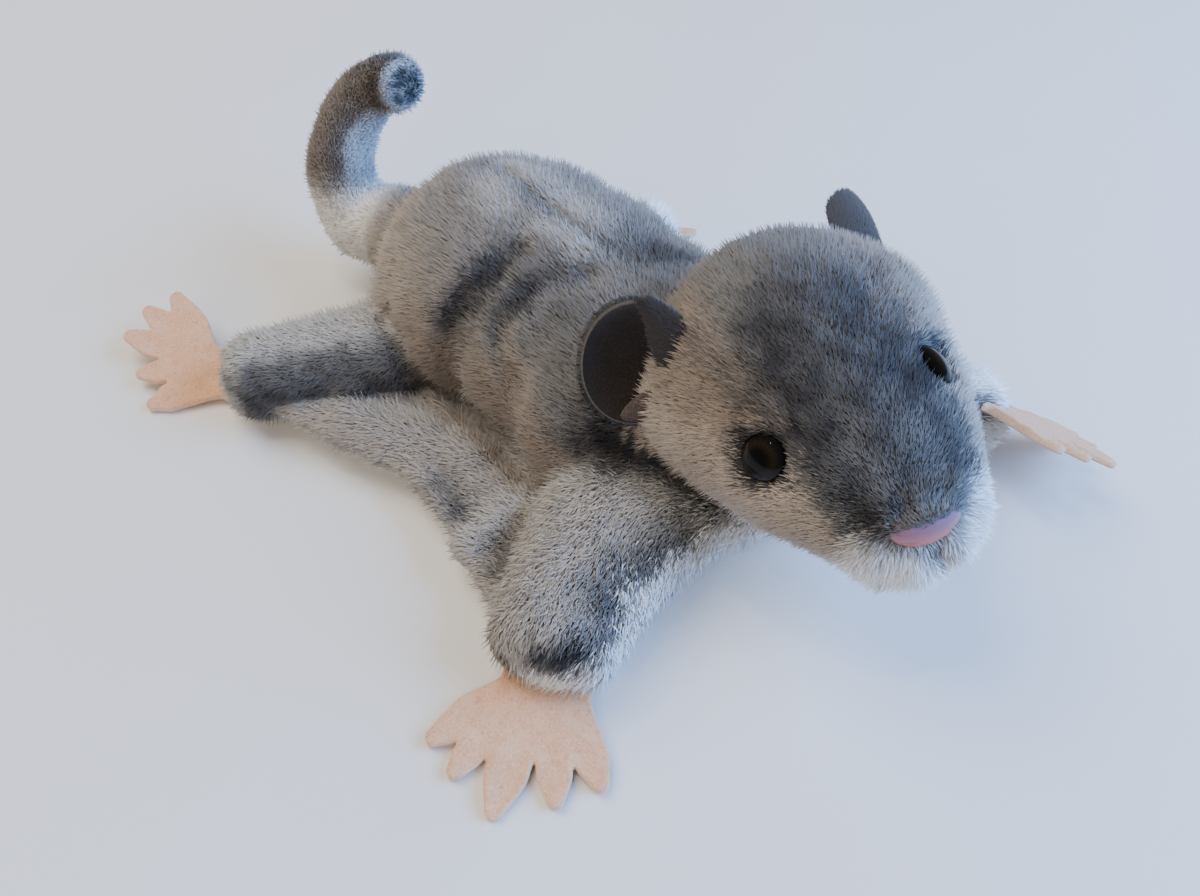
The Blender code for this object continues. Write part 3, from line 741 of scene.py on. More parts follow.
def closed_grid(grid):
    """Points and triangles of a closed surface of rings, with a fan at each end."""
    rings, sides = grid.shape[:2]
    points = np.concatenate([grid[1:-1].reshape(-1, 3), [grid[0].mean(0), grid[-1].mean(0)]])
    first_tip = len(points) - 2
    last_tip = len(points) - 1
    j = np.arange(sides)
    k = (j + 1) % sides
    row = np.arange(0, (rings - 3) * sides, sides)[:, None]
    here, beside, over, across = row + j, row + k, row + sides + j, row + sides + k
    last = (rings - 3) * sides
    faces = [
        np.stack([np.full(sides, first_tip), k, j], 1),
        np.stack([np.full(sides, last_tip), last + j, last + k], 1),
        np.stack([here, across, over], 2).reshape(-1, 3),
        np.stack([here, beside, across], 2).reshape(-1, 3),
    ]
    return points, np.concatenate(faces)


def joined(pieces):
    """Several sets of points and faces as one."""
    points = []
    faces = []
    start = 0
    for some_points, some_faces in pieces:
        points.append(some_points)
        faces.append(some_faces + start)
        start += len(some_points)
    return np.concatenate(points), np.concatenate(faces)


def added(name, data):
    """A new object of the given data in the scene."""
    obj = bpy.data.objects.new(name, data)
    bpy.context.scene.collection.objects.link(obj)
    return obj


def show(name, mesh, material):
    """A finished piece that rides on the toy's one body and takes its finish from a slot."""
    obj = added(name, mesh)
    if material is not None:
        mesh.materials.append(material)
    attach(obj, "root")
    return obj


def evaluated(obj):
    """A mesh of the object as it now looks."""
    bpy.context.view_layer.update()
    graph = bpy.context.evaluated_depsgraph_get()
    return bpy.data.meshes.new_from_object(obj.evaluated_get(graph))


def settled(obj):
    """The object's mesh as its modifiers leave it, which then replaces them."""
    mesh = evaluated(obj)
    obj.modifiers.clear()
    obj.data = mesh
    return mesh


def mesh_points(mesh):
    """The mesh's points and normals in the toy's frame, and its triangles."""
    points = read_rows(mesh.vertices, "co") / MM - TOY_AT
    normals = read_rows(mesh.vertex_normals, "vector")
    mesh.calc_loop_triangles()
    triangles = np.zeros(len(mesh.loop_triangles) * 3, np.int32)
    mesh.loop_triangles.foreach_get("vertices", triangles)
    return points, normals, triangles.reshape(-1, 3)


def store(mesh, name, values):
    """Numbers, or rows of three or four, kept on the mesh's points for its material."""
    values = np.asarray(values, np.float32)
    if values.ndim == 1:
        layer = mesh.attributes.new(name, "FLOAT", "POINT")
        layer.data.foreach_set("value", values)
        return
    if values.shape[1] == 3:
        values = np.concatenate([values, np.ones((len(values), 1), np.float32)], axis=1)
    layer = mesh.attributes.new(name, "FLOAT_COLOR", "POINT")
    layer.data.foreach_set("color", values.ravel())


class Wire:
    """A node's number output in an expression: each sign used on it adds a Math node."""

    def __init__(self, finish, socket):
        self.finish = finish
        self.socket = socket

    def math(self, operation, *values):
        """The result of a Math node."""
        return self.finish.add("ShaderNodeMath", {"operation": operation}, values)

    def __add__(self, other):
        return self.math("ADD", self, other)

    def __sub__(self, other):
        return self.math("SUBTRACT", self, other)

    def __rsub__(self, other):
        return self.math("SUBTRACT", other, self)

    def __mul__(self, other):
        return self.math("MULTIPLY", self, other)

    __radd__ = __add__
    __rmul__ = __mul__

    def between(self, low, high):
        """Goes smoothly from 0 at low to 1 at high."""
        settings = {"interpolation_type": "SMOOTHSTEP"}
        values = {"Value": self, "From Min": low, "From Max": high}
        return self.finish.add("ShaderNodeMapRange", settings, values)


class Finish:
    """A material in the making, on one Principled shader, with the panel's colours at hand."""

    def __init__(self, name, **constants):
        self.material = bpy.data.materials.new(name)
        self.material.use_nodes = True
        self.tree = self.material.node_tree
        self.shader = self.tree.nodes["Principled BSDF"]
        for socket, value in constants.items():
            self.shader.inputs[socket.replace("_", " ")].default_value = value

    def dye(self, name, strength=1.0):
        """One of the panel's colours, made stronger or weaker."""
        return solid(getattr(bpy.context.scene.glider_colours, name), strength)

    def add(self, kind, settings=None, values=(), output=0):
        """Adds any node: its settings first, then its sockets by number or name, each a value
        or a link."""
        node = self.tree.nodes.new(kind)
        for name, setting in (settings or {}).items():
            setattr(node, name, setting)
        pairs = values.items() if isinstance(values, dict) else enumerate(values)
        for socket, value in pairs:
            if isinstance(value, Wire):
                self.tree.links.new(value.socket, node.inputs[socket])
            else:
                node.inputs[socket].default_value = value
        return Wire(self, node.outputs[output])

    def mix(self, share, one, other, blend="MIX"):
        """A colour between one and other."""
        settings = {"data_type": "RGBA", "blend_type": blend}
        return self.add("ShaderNodeMix", settings, {0: share, 6: one, 7: other}, 2)

    def kept(self, name, output="Fac"):
        """A number or colour kept on the mesh."""
        return self.add("ShaderNodeAttribute", {"attribute_name": name}, (), output)

    def place(self):
        """Object coordinates."""
        return self.add("ShaderNodeTexCoord", None, (), "Object")

    def speckle(self, size, detail=2.0, rough=0.5):
        """Noise with lumps of the given size in metres."""
        values = {"Vector": self.place(), "Scale": 1 / size, "Detail": detail, "Roughness": rough}
        return self.add("ShaderNodeTexNoise", None, values, "Fac")

    def colour(self, wire):
        """Gives the shader its colour."""
        self.tree.links.new(wire.socket, self.shader.inputs["Base Color"])

    def bump(self, height, strength, distance):
        """Roughens the surface by a height, over a distance in metres."""
        values = {"Strength": strength, "Distance": distance, "Height": height}
        normal = self.add("ShaderNodeBump", None, values, "Normal")
        self.tree.links.new(normal.socket, self.shader.inputs["Normal"])


def solid(colour, strength=1.0):
    """A colour as four numbers for a socket, made stronger or weaker."""
    return (colour[0] * strength, colour[1] * strength, colour[2] * strength, 1.0)


def plush_finish(name):
    """Two-tone pile: its marks choose the colours of its roots and tips, which are mixed by the
    height up the tuft."""
    finish = Finish(name, Roughness=0.9, Sheen_Weight=0.2, Sheen_Roughness=0.5)
    marks = finish.kept("marks", "Color")
    split = finish.tree.nodes.new("ShaderNodeSeparateColor")
    finish.tree.links.new(marks.socket, split.inputs[0])
    dark, white, warm = (Wire(finish, split.outputs[i]) for i in range(3))
    chance = finish.kept("chance")
    height = finish.kept("height")
    patch = finish.speckle(0.011)
    streak = finish.speckle(0.0016)
    ends = []
    for end, warmth in (("_root", warm * 0.75), ("_tip", warm * (1 - dark * 0.6))):
        tone = finish.mix(dark, finish.dye("grey" + end), finish.dye("dark" + end))
        tone = finish.mix(warmth, tone, finish.dye("beige" + end))
        ends.append(finish.mix(white, tone, finish.dye("white" + end)))
    up = (height + (chance - 0.5) * 0.4 + (patch - 0.5) * 0.4).between(-0.1, 0.65)
    pile = finish.mix(up, *ends)
    level = 0.84 + chance * 0.24 + (streak - 0.5) * 0.2
    finish.colour(finish.mix(1.0, pile, level, "MULTIPLY"))
    return finish


# The colours that the panel leaves alone: the felt's broad patches, its flecks and its cut edge,
# the ear cloth's cut edge from low to high threads, the pupil, the rim round the iris, the lavender
# painted on the nose's upper side as its light and shade, and its nostrils.
FELT_PATCH = (0.80, 0.52, 0.33)
FELT_FLECK = (0.42, 0.22, 0.12)
FELT_CUT = (0.90, 0.74, 0.58)
EDGE_LOW = (0.04, 0.034, 0.030)
EDGE_HIGH = (0.13, 0.11, 0.095)
PUPIL = (0.002, 0.0018, 0.0018)
EYE_RIM = (0.003, 0.0025, 0.002)
NOSE_TOP_PAINTED_LIGHT = (0.19, 0.12, 0.20)
NOSTRIL = (0.30, 0.16, 0.15)


def felt_finish():
    """Peach felt: fine orange and brown mottling, paler where it was cut, fibrous bump."""
    finish = Finish("felt", Roughness=0.95, Sheen_Weight=0.25, Sheen_Roughness=0.5)
    fine = finish.speckle(0.0007, 3.0, 0.7).between(0.35, 0.68)
    broad = finish.speckle(0.004).between(0.35, 0.7)
    fleck = finish.speckle(0.0011, 2.0).between(0.60, 0.72)
    body = finish.mix(fine, finish.dye("felt", 0.80), finish.dye("felt", 1.08))
    body = finish.mix(broad * 0.4, body, solid(FELT_PATCH))
    body = finish.mix(fleck * 0.5, body, solid(FELT_FLECK))
    cut = finish.kept("cut")
    finish.colour(finish.mix(cut * 0.4, body, solid(FELT_CUT)))
    finish.bump(fine + broad * 0.5, 0.5, 0.0004)
    return finish


def suede_finish(name, strength):
    """Dark brown suede with a soft nap, its colour as strong as given."""
    finish = Finish(name, Roughness=0.85, Sheen_Weight=0.3, Sheen_Roughness=0.4)
    nap = finish.speckle(0.0005, 3.0, 0.6)
    broad = finish.speckle(0.006)
    low = finish.dye("suede", 0.7 * strength)
    body = finish.mix(broad, low, finish.dye("suede", 1.5 * strength))
    pale = finish.dye("suede", 3.4 * strength)
    finish.colour(finish.mix(nap.between(0.42, 0.7) * 0.6, body, pale))
    finish.bump(nap + broad * 0.6, 0.4, 0.0003)
    return finish


def cut_edge_finish():
    """The cut edge of the ear's cloth, a little paler than the suede."""
    finish = Finish("cut_edge", Roughness=0.9)
    threads = finish.speckle(0.0006, 2.0)
    finish.colour(finish.mix(threads, solid(EDGE_LOW), solid(EDGE_HIGH)))
    finish.bump(threads, 0.5, 0.0003)
    return finish


def eye_finish():
    """Glossy moulded eye: black pupil, brown iris with faint rays, dark rim."""
    finish = Finish("eye", Roughness=0.10, IOR=1.24)
    out = finish.kept("out")
    rays = finish.kept("rays")
    iris = finish.mix(rays, finish.dye("iris", 0.22), finish.dye("iris", 0.42))
    iris = finish.mix(out.between(0.62, 0.95), iris, solid(EYE_RIM))
    finish.colour(finish.mix(out.between(0.35, 0.75), solid(PUPIL), iris))
    return finish


def nose_finish():
    """Satin nose with a faint moulded grain, pink low down and painted lavender above as its light
    and shade.
    """
    finish = Finish("nose", Roughness=0.36, Coat_Weight=0.15, Subsurface_Weight=0.06)
    blotch = finish.speckle(0.004)
    low = finish.kept("low")
    # Painted light and shade: lavender over the nose's upper side, pink low down.
    tone = finish.mix(low * 0.8 + blotch * 0.3, solid(NOSE_TOP_PAINTED_LIGHT), finish.dye("nose"))
    finish.colour(finish.mix(finish.kept("groove") * 0.7, tone, solid(NOSTRIL)))
    finish.bump(finish.speckle(0.0006), 0.08, 0.0002)
    return finish


def floor_finish():
    """A plain pale matt floor."""
    stage = bpy.context.scene.glider_stage
    finish = Finish("floor", Roughness=0.6)
    grain = finish.speckle(0.05)
    finish.colour(finish.mix(grain, solid(stage.floor, 0.98), solid(stage.floor, 1.0)))
    return finish


def facing_axes(facing, upward):
    """Rows across, up and facing for a piece that looks along facing."""
    facing = unit(np.asarray(facing, float))
    across = unit(np.cross(upward, facing))
    return np.array((across, np.cross(facing, across), facing))


def eye_place(side):
    """An eye's centre and its rows across, up and facing, in the head's own frame."""
    axes = facing_axes(EYE_FACING[side], (0, 0, 1.0))
    return mirrored(EYE_AT, side) - EYE_SUNK[side] * axes[2], axes


def nose_place():
    """The nose's centre and its rows across, up and facing, in the head's own frame."""
    tilt, roll = np.radians((NOSE_TILT, NOSE_ROLL))
    facing = (0, -math.cos(tilt), math.sin(tilt))
    axes = facing_axes(facing, (math.sin(roll), 0, math.cos(roll)))
    return np.array(NOSE_AT) + NOSE_LIFT * axes[1], axes


def own_place(head, centre, axes, size):
    """Points of the head's frame in a piece's own frame, and as shares of its half sizes their
    places across and up it and how far out they lie."""
    own = (head - centre) @ axes.T
    across = own[:, 0] / size[0]
    up = own[:, 1] / size[1]
    return own, across, up, np.hypot(across, up)


def sink_sockets(points):
    """Pushes the cloth in behind each eye and the nose, to a dish that its rim eases into, and
    draws it out over the nose's upper half."""
    head = to_head(points)
    for centre, axes, size, floor, open_to in SOCKETS:
        own, _, up, away = own_place(head, centre, axes, size)
        inside = ease(1.35, 0.9, away) * ease(-14, -8, own[:, 2])
        inside = inside * ease(open_to + 0.3, open_to, up)
        push = np.maximum(own[:, 2] - (floor - 2.0 * ease(1.0, 0.3, away)), 0) * inside
        head = head - push[:, None] * axes[2]
    centre, axes, size, _, open_to = SOCKETS[-1]
    own, across, up, _ = own_place(head, centre, axes, size)
    dome = NOSE_SIZE[2] * np.sqrt(np.clip(1 - across**2 - np.minimum(up, 0.9) ** 2, 0.02, 1)) + 0.3
    over = ease(open_to - 0.1, open_to + 0.35, up) * ease(2.3, 1.2, up)
    over = over * ease(1.5, 0.9, np.abs(across))
    rise = np.maximum(dome - own[:, 2], 0) * over * (own[:, 2] > -10)
    return from_head(clear_ears(head + rise[:, None] * axes[2]))


def clear_ears(head):
    """Presses the cloth back behind the open right ear, but not at the ear's root."""
    middle, axes, sizes = ear_place(*EARS["ear_right"])
    own, _, out, away = own_place(head, middle, axes, sizes)
    behind = cup_depth(np.minimum(away, 1)) - EAR_CLOTH - 2.5
    inside = ease(1.2, 0.95, away) * ease(-0.45, -0.05, out)
    push = np.clip(own[:, 2] - behind, 0, 14) * inside * (own[:, 2] < 6)
    return head - push[:, None] * axes[2]


def strongest(points, normals, strokes):
    """At each point the most that any of the strokes gives it."""
    most = np.zeros(len(points))
    for strength, width, path in strokes:
        most = np.maximum(most, strength * stroke(points, normals, path, width))
    return most


def sew_folds(points, normals):
    """Draws the cloth in along the sewn folds and the back's seam, and out along the ridges, by
    bell curves, with low lumps of stuffing all over and faint rings round the tail's root."""
    drawn = strongest(points, normals, FOLDS)
    raised = strongest(points, normals, RIDGES)
    lumps = 0.5 * noise(points, 16, TABLES[3]) + 0.25 * noise(points, 7, TABLES[2])
    share, way, _, _ = PARTS["tail"].place_of(points)
    rings = ease(1.25, 1.05, share) * ease(0.50, 0.42, way) * ease(-8, -2, points[:, 1])
    lumps = lumps + 0.35 * rings * np.sin(2 * math.pi * TAIL_RINGS * way)
    return points + (raised + lumps - drawn)[:, None] * normals


# Creases and seams drawn into the cloth, and ridges raised in it: how deep or high, how wide,
# and the points they run through.
FOLDS = (
    (2.4, 4.0, ((-35, -67, 20), (-34, -66, 34), (-29, -63.5, 44), (-23, -66, 49.5))),
    (2.2, 3.6, ((-25, -66, 48), (-16, -67.9, 54.9), (-7, -69.9, 58.6))),
    (2.0, 3.6, ((-34, -94, 34), (-31, -86, 40), (-25, -79.5, 48))),
    (2.0, 3.4, ((-25, -79.5, 48), (-14.7, -81.5, 55), (-8, -86, 57), (-1, -91.5, 58))),
    (1.3, 1.8, ((14.5, -38, 60), (10.4, -55, 61), (9.5, -75, 61), (13.5, -100, 59))),
    (1.5, 3.0, ((-38, -46, 12), (-41, -60, 13), (-43, -74, 14))),
    (1.6, 3.6, ((-33.8, -64.5, 12), (-34, -76, 12), (-37.6, -93, 12.8), (-39, -109, 12.6))),
    (1.5, 5.0, ((-55, -84, 14), (-62, -100, 14))),
    (1.4, 5.0, ((-52, -117, 14), (-64, -119, 14))),
    (1.8, 3.0, ((-37, -40, 32), (-38.7, -48, 29), (-41, -53, 20))),
    (0.9, 1.6, ((-2.9, 11.4, 39), (-1, 10.5, 44), (1, 11, 48))),
    (1.6, 1.6, from_head(((-0.5, -38, -8), (-0.5, -37, -14)))),
)
RIDGES = (
    (2.2, 6.0, ((-60, -48, 14), (-57, -62, 14.6), (-48, -72, 14.4), (-45, -85, 14.2))),
    (1.8, 4.0, ((-42, -109, 13), (-53, -108, 14.4), (-68, -108, 13.3))),
    (1.4, 3.0, from_head(((-7, -36, -11), (-6, -35, -15)))),
    (1.4, 3.0, from_head(((5, -37, -10), (5, -36, -14)))),
)


# Each socket: its centre, its axes, its half sizes, how deep its floor is, and how far up it is
# open, as a share of its half height.
SOCKETS = (
    (*eye_place(-1), (EYE_RADIUS, EYE_RADIUS), -1.5, 9.0),
    (*eye_place(1), (EYE_RADIUS, EYE_RADIUS), -1.5, 9.0),
    (*nose_place(), NOSE_SIZE[:2], -1.0, 0.0),
)


class GLIDER_OT_skin(bpy.types.Operator):
    """Sews one skin over the stuffing, from all the stuffed parts together"""

    bl_idname = "glider.skin"
    bl_label = "Sewn Skin"

    def execute(self, context):
        pieces = []
        for part in PARTS.values():
            grid = part.cloth(*PART_GRID)
            grid[..., 2] = np.maximum(grid[..., 2], CLOTH_ABOVE_FLOOR)
            pieces.append(closed_grid(grid))
        points, faces = joined(pieces)
        skin = show("skin", write_mesh("skin", points, faces), None)
        weld = skin.modifiers.new("one_cloth", "REMESH")
        weld.mode = "VOXEL"
        weld.voxel_size = context.scene.glider_pile.cloth_grain
        relax = skin.modifiers.new("relax", "SMOOTH")
        relax.factor = 0.5
        relax.iterations = 7
        mesh = settled(skin)
        points, normals, _ = mesh_points(mesh)
        points = sink_sockets(sew_folds(points, normals))
        points[:, 2] = np.maximum(points[:, 2], CLOTH_ABOVE_FLOOR)
        move_points(mesh, points)
        mesh.update()
        mesh.shade_smooth()
        points, normals, _ = mesh_points(mesh)
        store(mesh, "marks", Field(points, normals).marks())
        store(mesh, "height", np.full(len(points), 0.5))
        store(mesh, "chance", 0.5 + 0.5 * noise(points, 1.1, TABLES[0]))
        finish = plush_finish("plush_cloth")
        finish.bump(finish.speckle(0.0008, 3.0, 0.7), 0.8, 0.001)
        mesh.materials.clear()
        mesh.materials.append(finish.material)
        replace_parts(skin, "head", "neck", "torso", "arm_right", "arm_left", "leg_right")
        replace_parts(skin, "leg_left", "flap_right", "flap_left")
        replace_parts(skin, "tail_base", "tail_middle", "tail_tip")
        return {"FINISHED"}


# How far the cloth and the tufts stay above the floor, and how far up a tuft its widest ring
# is, as a share of its length.
CLOTH_ABOVE_FLOOR = 0.7
TUFT_ABOVE_FLOOR = 0.12
RING = 0.32


def scatter(points, triangles, share, total, draw):
    """Seeded roots on triangles, as many per area as share says; returns each root's three
    corners and their weights."""
    corners = points[triangles]
    sides = np.cross(corners[:, 1] - corners[:, 0], corners[:, 2] - corners[:, 0])
    area = np.linalg.norm(sides, axis=1) * share[triangles].mean(1)
    ladder = np.cumsum(area)
    rungs = (np.arange(total) + draw.random(total)) / total * ladder[-1]
    chosen = np.minimum(np.searchsorted(ladder, rungs), len(ladder) - 1)
    u, v = draw.random((2, total))
    flip = u + v > 1
    u = np.where(flip, 1 - u, u)
    v = np.where(flip, 1 - v, v)
    return triangles[chosen], np.stack([1 - u - v, u, v], axis=1)


def at_roots(values, corners, weights):
    """A mesh's values at its points, read at roots between them."""
    return (values[corners] * weights[..., None]).sum(1)


def crowding(field):
    """How many tufts grow per area: most on the head, few underneath, none in the sockets or
    in the cup of an ear."""
    share = np.ones(len(field.points))
    share += 0.7 * field.near["head"]
    share += 0.35 * ease(0.0, 0.6, field.normals[:, 2])
    share *= 0.16 + 0.84 * ease(-0.75, -0.1, field.normals[:, 2])
    for centre, axes, size, _, open_to in SOCKETS:
        own, _, up, away = own_place(field.head, centre, axes, size)
        share[(np.abs(own[:, 2]) < 12) & (away < 0.84) & (up < open_to + 0.45)] = 0
    middle, axes, sizes = ear_place(*EARS["ear_right"])
    own, _, out, away = own_place(field.head, middle, axes, sizes)
    blocked = (own[:, 2] > -11) & (own[:, 2] < 1) & (out > -0.3)
    share[(away < 1.05) & (blocked | (np.abs(own[:, 2]) < 1))] = 0
    return share


def ear_place(side, foot, roof, outward, half_length, reach, _, face):
    """An ear's middle, its rows along the base, outward and inward, and its half sizes, in the
    head's own frame."""
    foot = mirrored(foot, side)
    roof = mirrored(roof, side)
    chord = unit(roof - foot)
    outward = mirrored(outward, side)
    outward = unit(outward - (outward @ chord) * chord)
    inward = unit(np.cross(outward, chord)) * side * face
    half_reach = (reach + EAR_TUCK) / 2
    middle = (foot + roof) / 2 + outward * (half_reach - EAR_TUCK)
    return middle, np.array((chord, outward, inward)), (half_length, half_reach)


def clouds(points, draw):
    """Soft blotches between -1 and 1, as the sum of a few long waves in random directions."""
    total = np.zeros(len(points))
    for wave, phase in zip(draw.normal(size=(CLOUD_WAVES, 3)), draw.random(CLOUD_WAVES)):
        total += np.sin(2 * math.pi * (points @ wave / CLOUD_LENGTH + phase))
    return np.clip(total / math.sqrt(CLOUD_WAVES), -1, 1)


def cup_depth(share):
    """How deep the cup of an ear is, as the cap of a ball, at a share of the way to its rim."""
    bowl = math.radians(EAR_BOWL)
    ball = EAR_CUP / (1 - math.cos(bowl))
    fall = np.arcsin(share * math.sin(bowl))
    return -ball * (np.cos(fall) - math.cos(bowl))


def tuft_shape(root, normal, lie, length, width, rise, draw):
    """Bent spindles: a point under the cloth, a three-sided ring where the tuft is widest, and
    a tip. The first stretch stands nearly upright and the second leans along the lie."""
    count = len(root)
    start = unit(normal + lie * (1.15 - rise)[:, None])
    end = unit(normal * rise[:, None] + lie * np.sqrt(1 - rise**2)[:, None])
    middle = root + start * (RING * length)[:, None]
    tip = middle + end * ((1 - RING) * length)[:, None]
    twist = unit(draw.normal(size=(count, 3)))
    aside = unit(np.cross(end, normal) + 0.45 * twist)
    ridge = unit(np.cross(aside, start))
    half = (0.5 * width)[:, None]
    base = root - 0.5 * normal
    return np.stack(
        [base, middle - aside * half, middle + ridge * half * 0.9, middle + aside * half, tip],
        axis=1,
    )


# The coat's pieces: the parts that each covers, and which share of their tufts it takes, counted
# from the toy's right, of how many equal shares.
COAT_PIECES = {
    "coat_head_right": ("head", 0, 3),
    "coat_head_top": ("head", 1, 3),
    "coat_head_left": ("head", 2, 3),
    "coat_back_right": ("torso neck", 0, 3),
    "coat_back_middle": ("torso neck", 1, 3),
    "coat_back_left": ("torso neck", 2, 3),
    "coat_arms": ("arm_right arm_left", 0, 1),
    "coat_legs": ("leg_right leg_left", 0, 1),
    "coat_flap_right": ("flap_right", 0, 1),
    "coat_flap_left": ("flap_left", 0, 1),
    "coat_tail": ("tail", 0, 1),
}


class GLIDER_OT_coat(bpy.types.Operator):
    """Grows the plush pile on the skin, in tufts that follow the lie of the cloth"""

    bl_idname = "glider.coat"
    bl_label = "Plush Pile"

    def execute(self, context):
        pile = context.scene.glider_pile
        draw = np.random.default_rng(COAT_SEED)
        points, normals, triangles = mesh_points(bpy.data.objects["skin"].data)
        skin = Field(points, normals)
        total = pile.tufts
        spots = scatter(points, triangles, crowding(skin), total, draw)
        root = at_roots(points, *spots)
        normal = unit(at_roots(normals, *spots))
        field = Field(root, normal)
        marks = field.marks(STRAY * draw.normal(size=(total, 3)))
        fleck = (draw.random(total) < FLECKS) * (1 - marks[:, 1])
        marks[:, 0] = np.clip(marks[:, 0] + 0.35 * fleck, 0, 1)
        cloudy = (0.15 + marks[:, 0]) * (1 - marks[:, 1])
        cloudy *= CLOUD_STRENGTH * clouds(root, draw)
        marks[:, 0] = np.clip(marks[:, 0] + cloudy, 0, 1)
        chance = draw.random(total)
        length, width, rise = self.sizes(field, chance, pile)
        wobble = noise_vectors(root, 12.0) * 0.22 + noise_vectors(root, 3.5) * 0.1
        lie = field.lie + wobble + 0.2 * draw.normal(size=(total, 3))
        lie = unit(level(lie, normal))
        tufts = tuft_shape(root, normal, lie, length, width, rise, draw)
        gather = uphill(root, 3.4, TABLES[0]) * 0.15 + uphill(root, 1.5, TABLES[1]) * 0.1
        gather = level(gather * (1 + 2.5 * field.chin())[:, None], normal)
        tufts[:, 4] += gather * (0.3 * length)[:, None]
        tufts[..., 2] = np.maximum(tufts[..., 2], TUFT_ABOVE_FLOOR)
        finish = plush_finish("plush_pile")
        names = list(PARTS)
        for piece, (parts, share, shares) in COAT_PIECES.items():
            wanted = np.isin(field.owner, [names.index(part) for part in parts.split()])
            index = np.flatnonzero(wanted)
            across = field.head[index, 0] if parts == "head" else root[index, 0]
            order = np.argsort(across, kind="stable")
            index = np.sort(index[np.array_split(order, shares)[share]])
            owner = field.owner[index]
            along = field.along[index, owner] + 1.2 * owner
            place = np.stack([field.angle[index, owner], along], axis=1)
            slot = "plush_cream" if piece == "coat_tail" else "plush_grey"
            pile_of = (tufts[index], normal[index], marks[index], chance[index], place)
            write_coat(piece, *pile_of, finish, slot)
        return {"FINISHED"}

    def sizes(self, field, chance, pile):
        """Each tuft's length, width and rise: shorter on the face, longest at the chin, and one
        in ten stands taller."""
        length = field.blend("pile")
        face = ease(8, -24, field.head[:, 1]) * field.near["head"]
        length = length * (1 - 0.25 * face)
        length = length * (1 + 1.1 * field.chin())
        patch = noise(field.points, 6.0, TABLES[2])
        length = length * (0.82 + 0.36 * chance + 0.16 * patch)
        rise = np.clip(field.blend("rise") + 0.12 * (chance - 0.5) + 0.14 * patch, 0.2, 0.95)
        tall = (chance > 0.9) * (1 - 0.6 * face)
        rise = np.minimum(rise + 0.35 * tall, 0.97)
        length = length * (1 + 0.2 * tall)
        width = pile.tuft_width / MM * (1 - 0.2 * face) * (0.8 + 0.4 * chance)
        return length * pile.length, width, rise


# A tuft's faces over its base 0, the ring 1 to 3 and its tip 4.
TUFT_SIDES = ((1, 2, 4), (2, 3, 4), (3, 1, 4), (2, 1, 0), (3, 2, 0), (1, 3, 0))


def write_coat(name, tufts, normals, marks, chance, place, finish, slot):
    """One piece of the coat, shaded mostly by the cloth's own normals.

    Its OFBake map gives each tuft a patch 0.003 across, where its root lies on an unwrap of the
    part: round the section and along it.
    """
    count = len(tufts)
    faces = (np.arange(count)[:, None, None] * 5 + np.array(TUFT_SIDES)).reshape(-1, 3)
    away = unit(tufts - tufts[:, 1:4].mean(1, keepdims=True))
    shading = unit(normals[:, None] + 0.25 * away).reshape(-1, 3)
    mesh = write_mesh(name, tufts.reshape(-1, 3), faces, shading)
    store(mesh, "marks", np.repeat(marks, 5, axis=0))
    store(mesh, "chance", np.repeat(chance, 5))
    store(mesh, "height", np.tile((0.0, 0.42, 0.48, 0.42, 1.0), count))
    place = place - place.min(0)
    place = 0.01 + 0.98 * place / np.maximum(place.max(0), 1e-9)
    patch = 0.0015 * np.array(((0, -1), (-1, 0), (0, -0.2), (1, 0), (0, 1)))
    place = (place[:, None] + patch).reshape(-1, 2)
    layer = mesh.uv_layers.new(name="OFBake")
    layer.uv.foreach_set("vector", place[faces.ravel()].astype(np.float32).ravel())
    return show(name, mesh, finish.material)


def felt_outline(corners, side, tuck):
    """The outline of a felt hand or foot: a cubic curve through the valleys between the fingers,
    the slightly swollen sides of each finger and its round tip."""
    corners = np.array(corners, float) * (1, side)
    knots = [corners[0] - (tuck, 0), corners[0]]
    for i in range(1, len(corners) - 2, 2):
        before, tip, after = corners[i - 1 : i + 2]
        along = unit(tip - (before + after) / 2)
        aside = np.array((along[1], -along[0]))
        if (before - after) @ aside < 0:
            aside = -aside
        heart = tip - along * FINGER_TIP
        flanks = []
        for lean, valley in ((aside, before), (-aside, after)):
            near = heart + lean * FINGER_TIP
            swell = FINGER_SWELL * np.linalg.norm(near - valley)
            shoulder = heart + (along + lean) * 0.7 * FINGER_TIP
            flanks.append([(valley + near) / 2 + lean * swell, near, shoulder])
        knots += [*flanks[0], tip, *reversed(flanks[1]), after]
    knots = np.array([*knots, corners[-1], corners[-1] - (tuck, 0)])
    outline = []
    for i in range(len(knots)):
        p0, p1, p2, p3 = knots[np.arange(i - 1, i + 3) % len(knots)]
        for t in (0.0, 0.25, 0.5, 0.75):
            bend = 2 * p0 - 5 * p1 + 4 * p2 - p3
            twist = 3 * p1 - p0 - 3 * p2 + p3
            outline.append(p1 + 0.5 * ((p2 - p0) * t + bend * t**2 + twist * t**3))
    return np.array(outline)


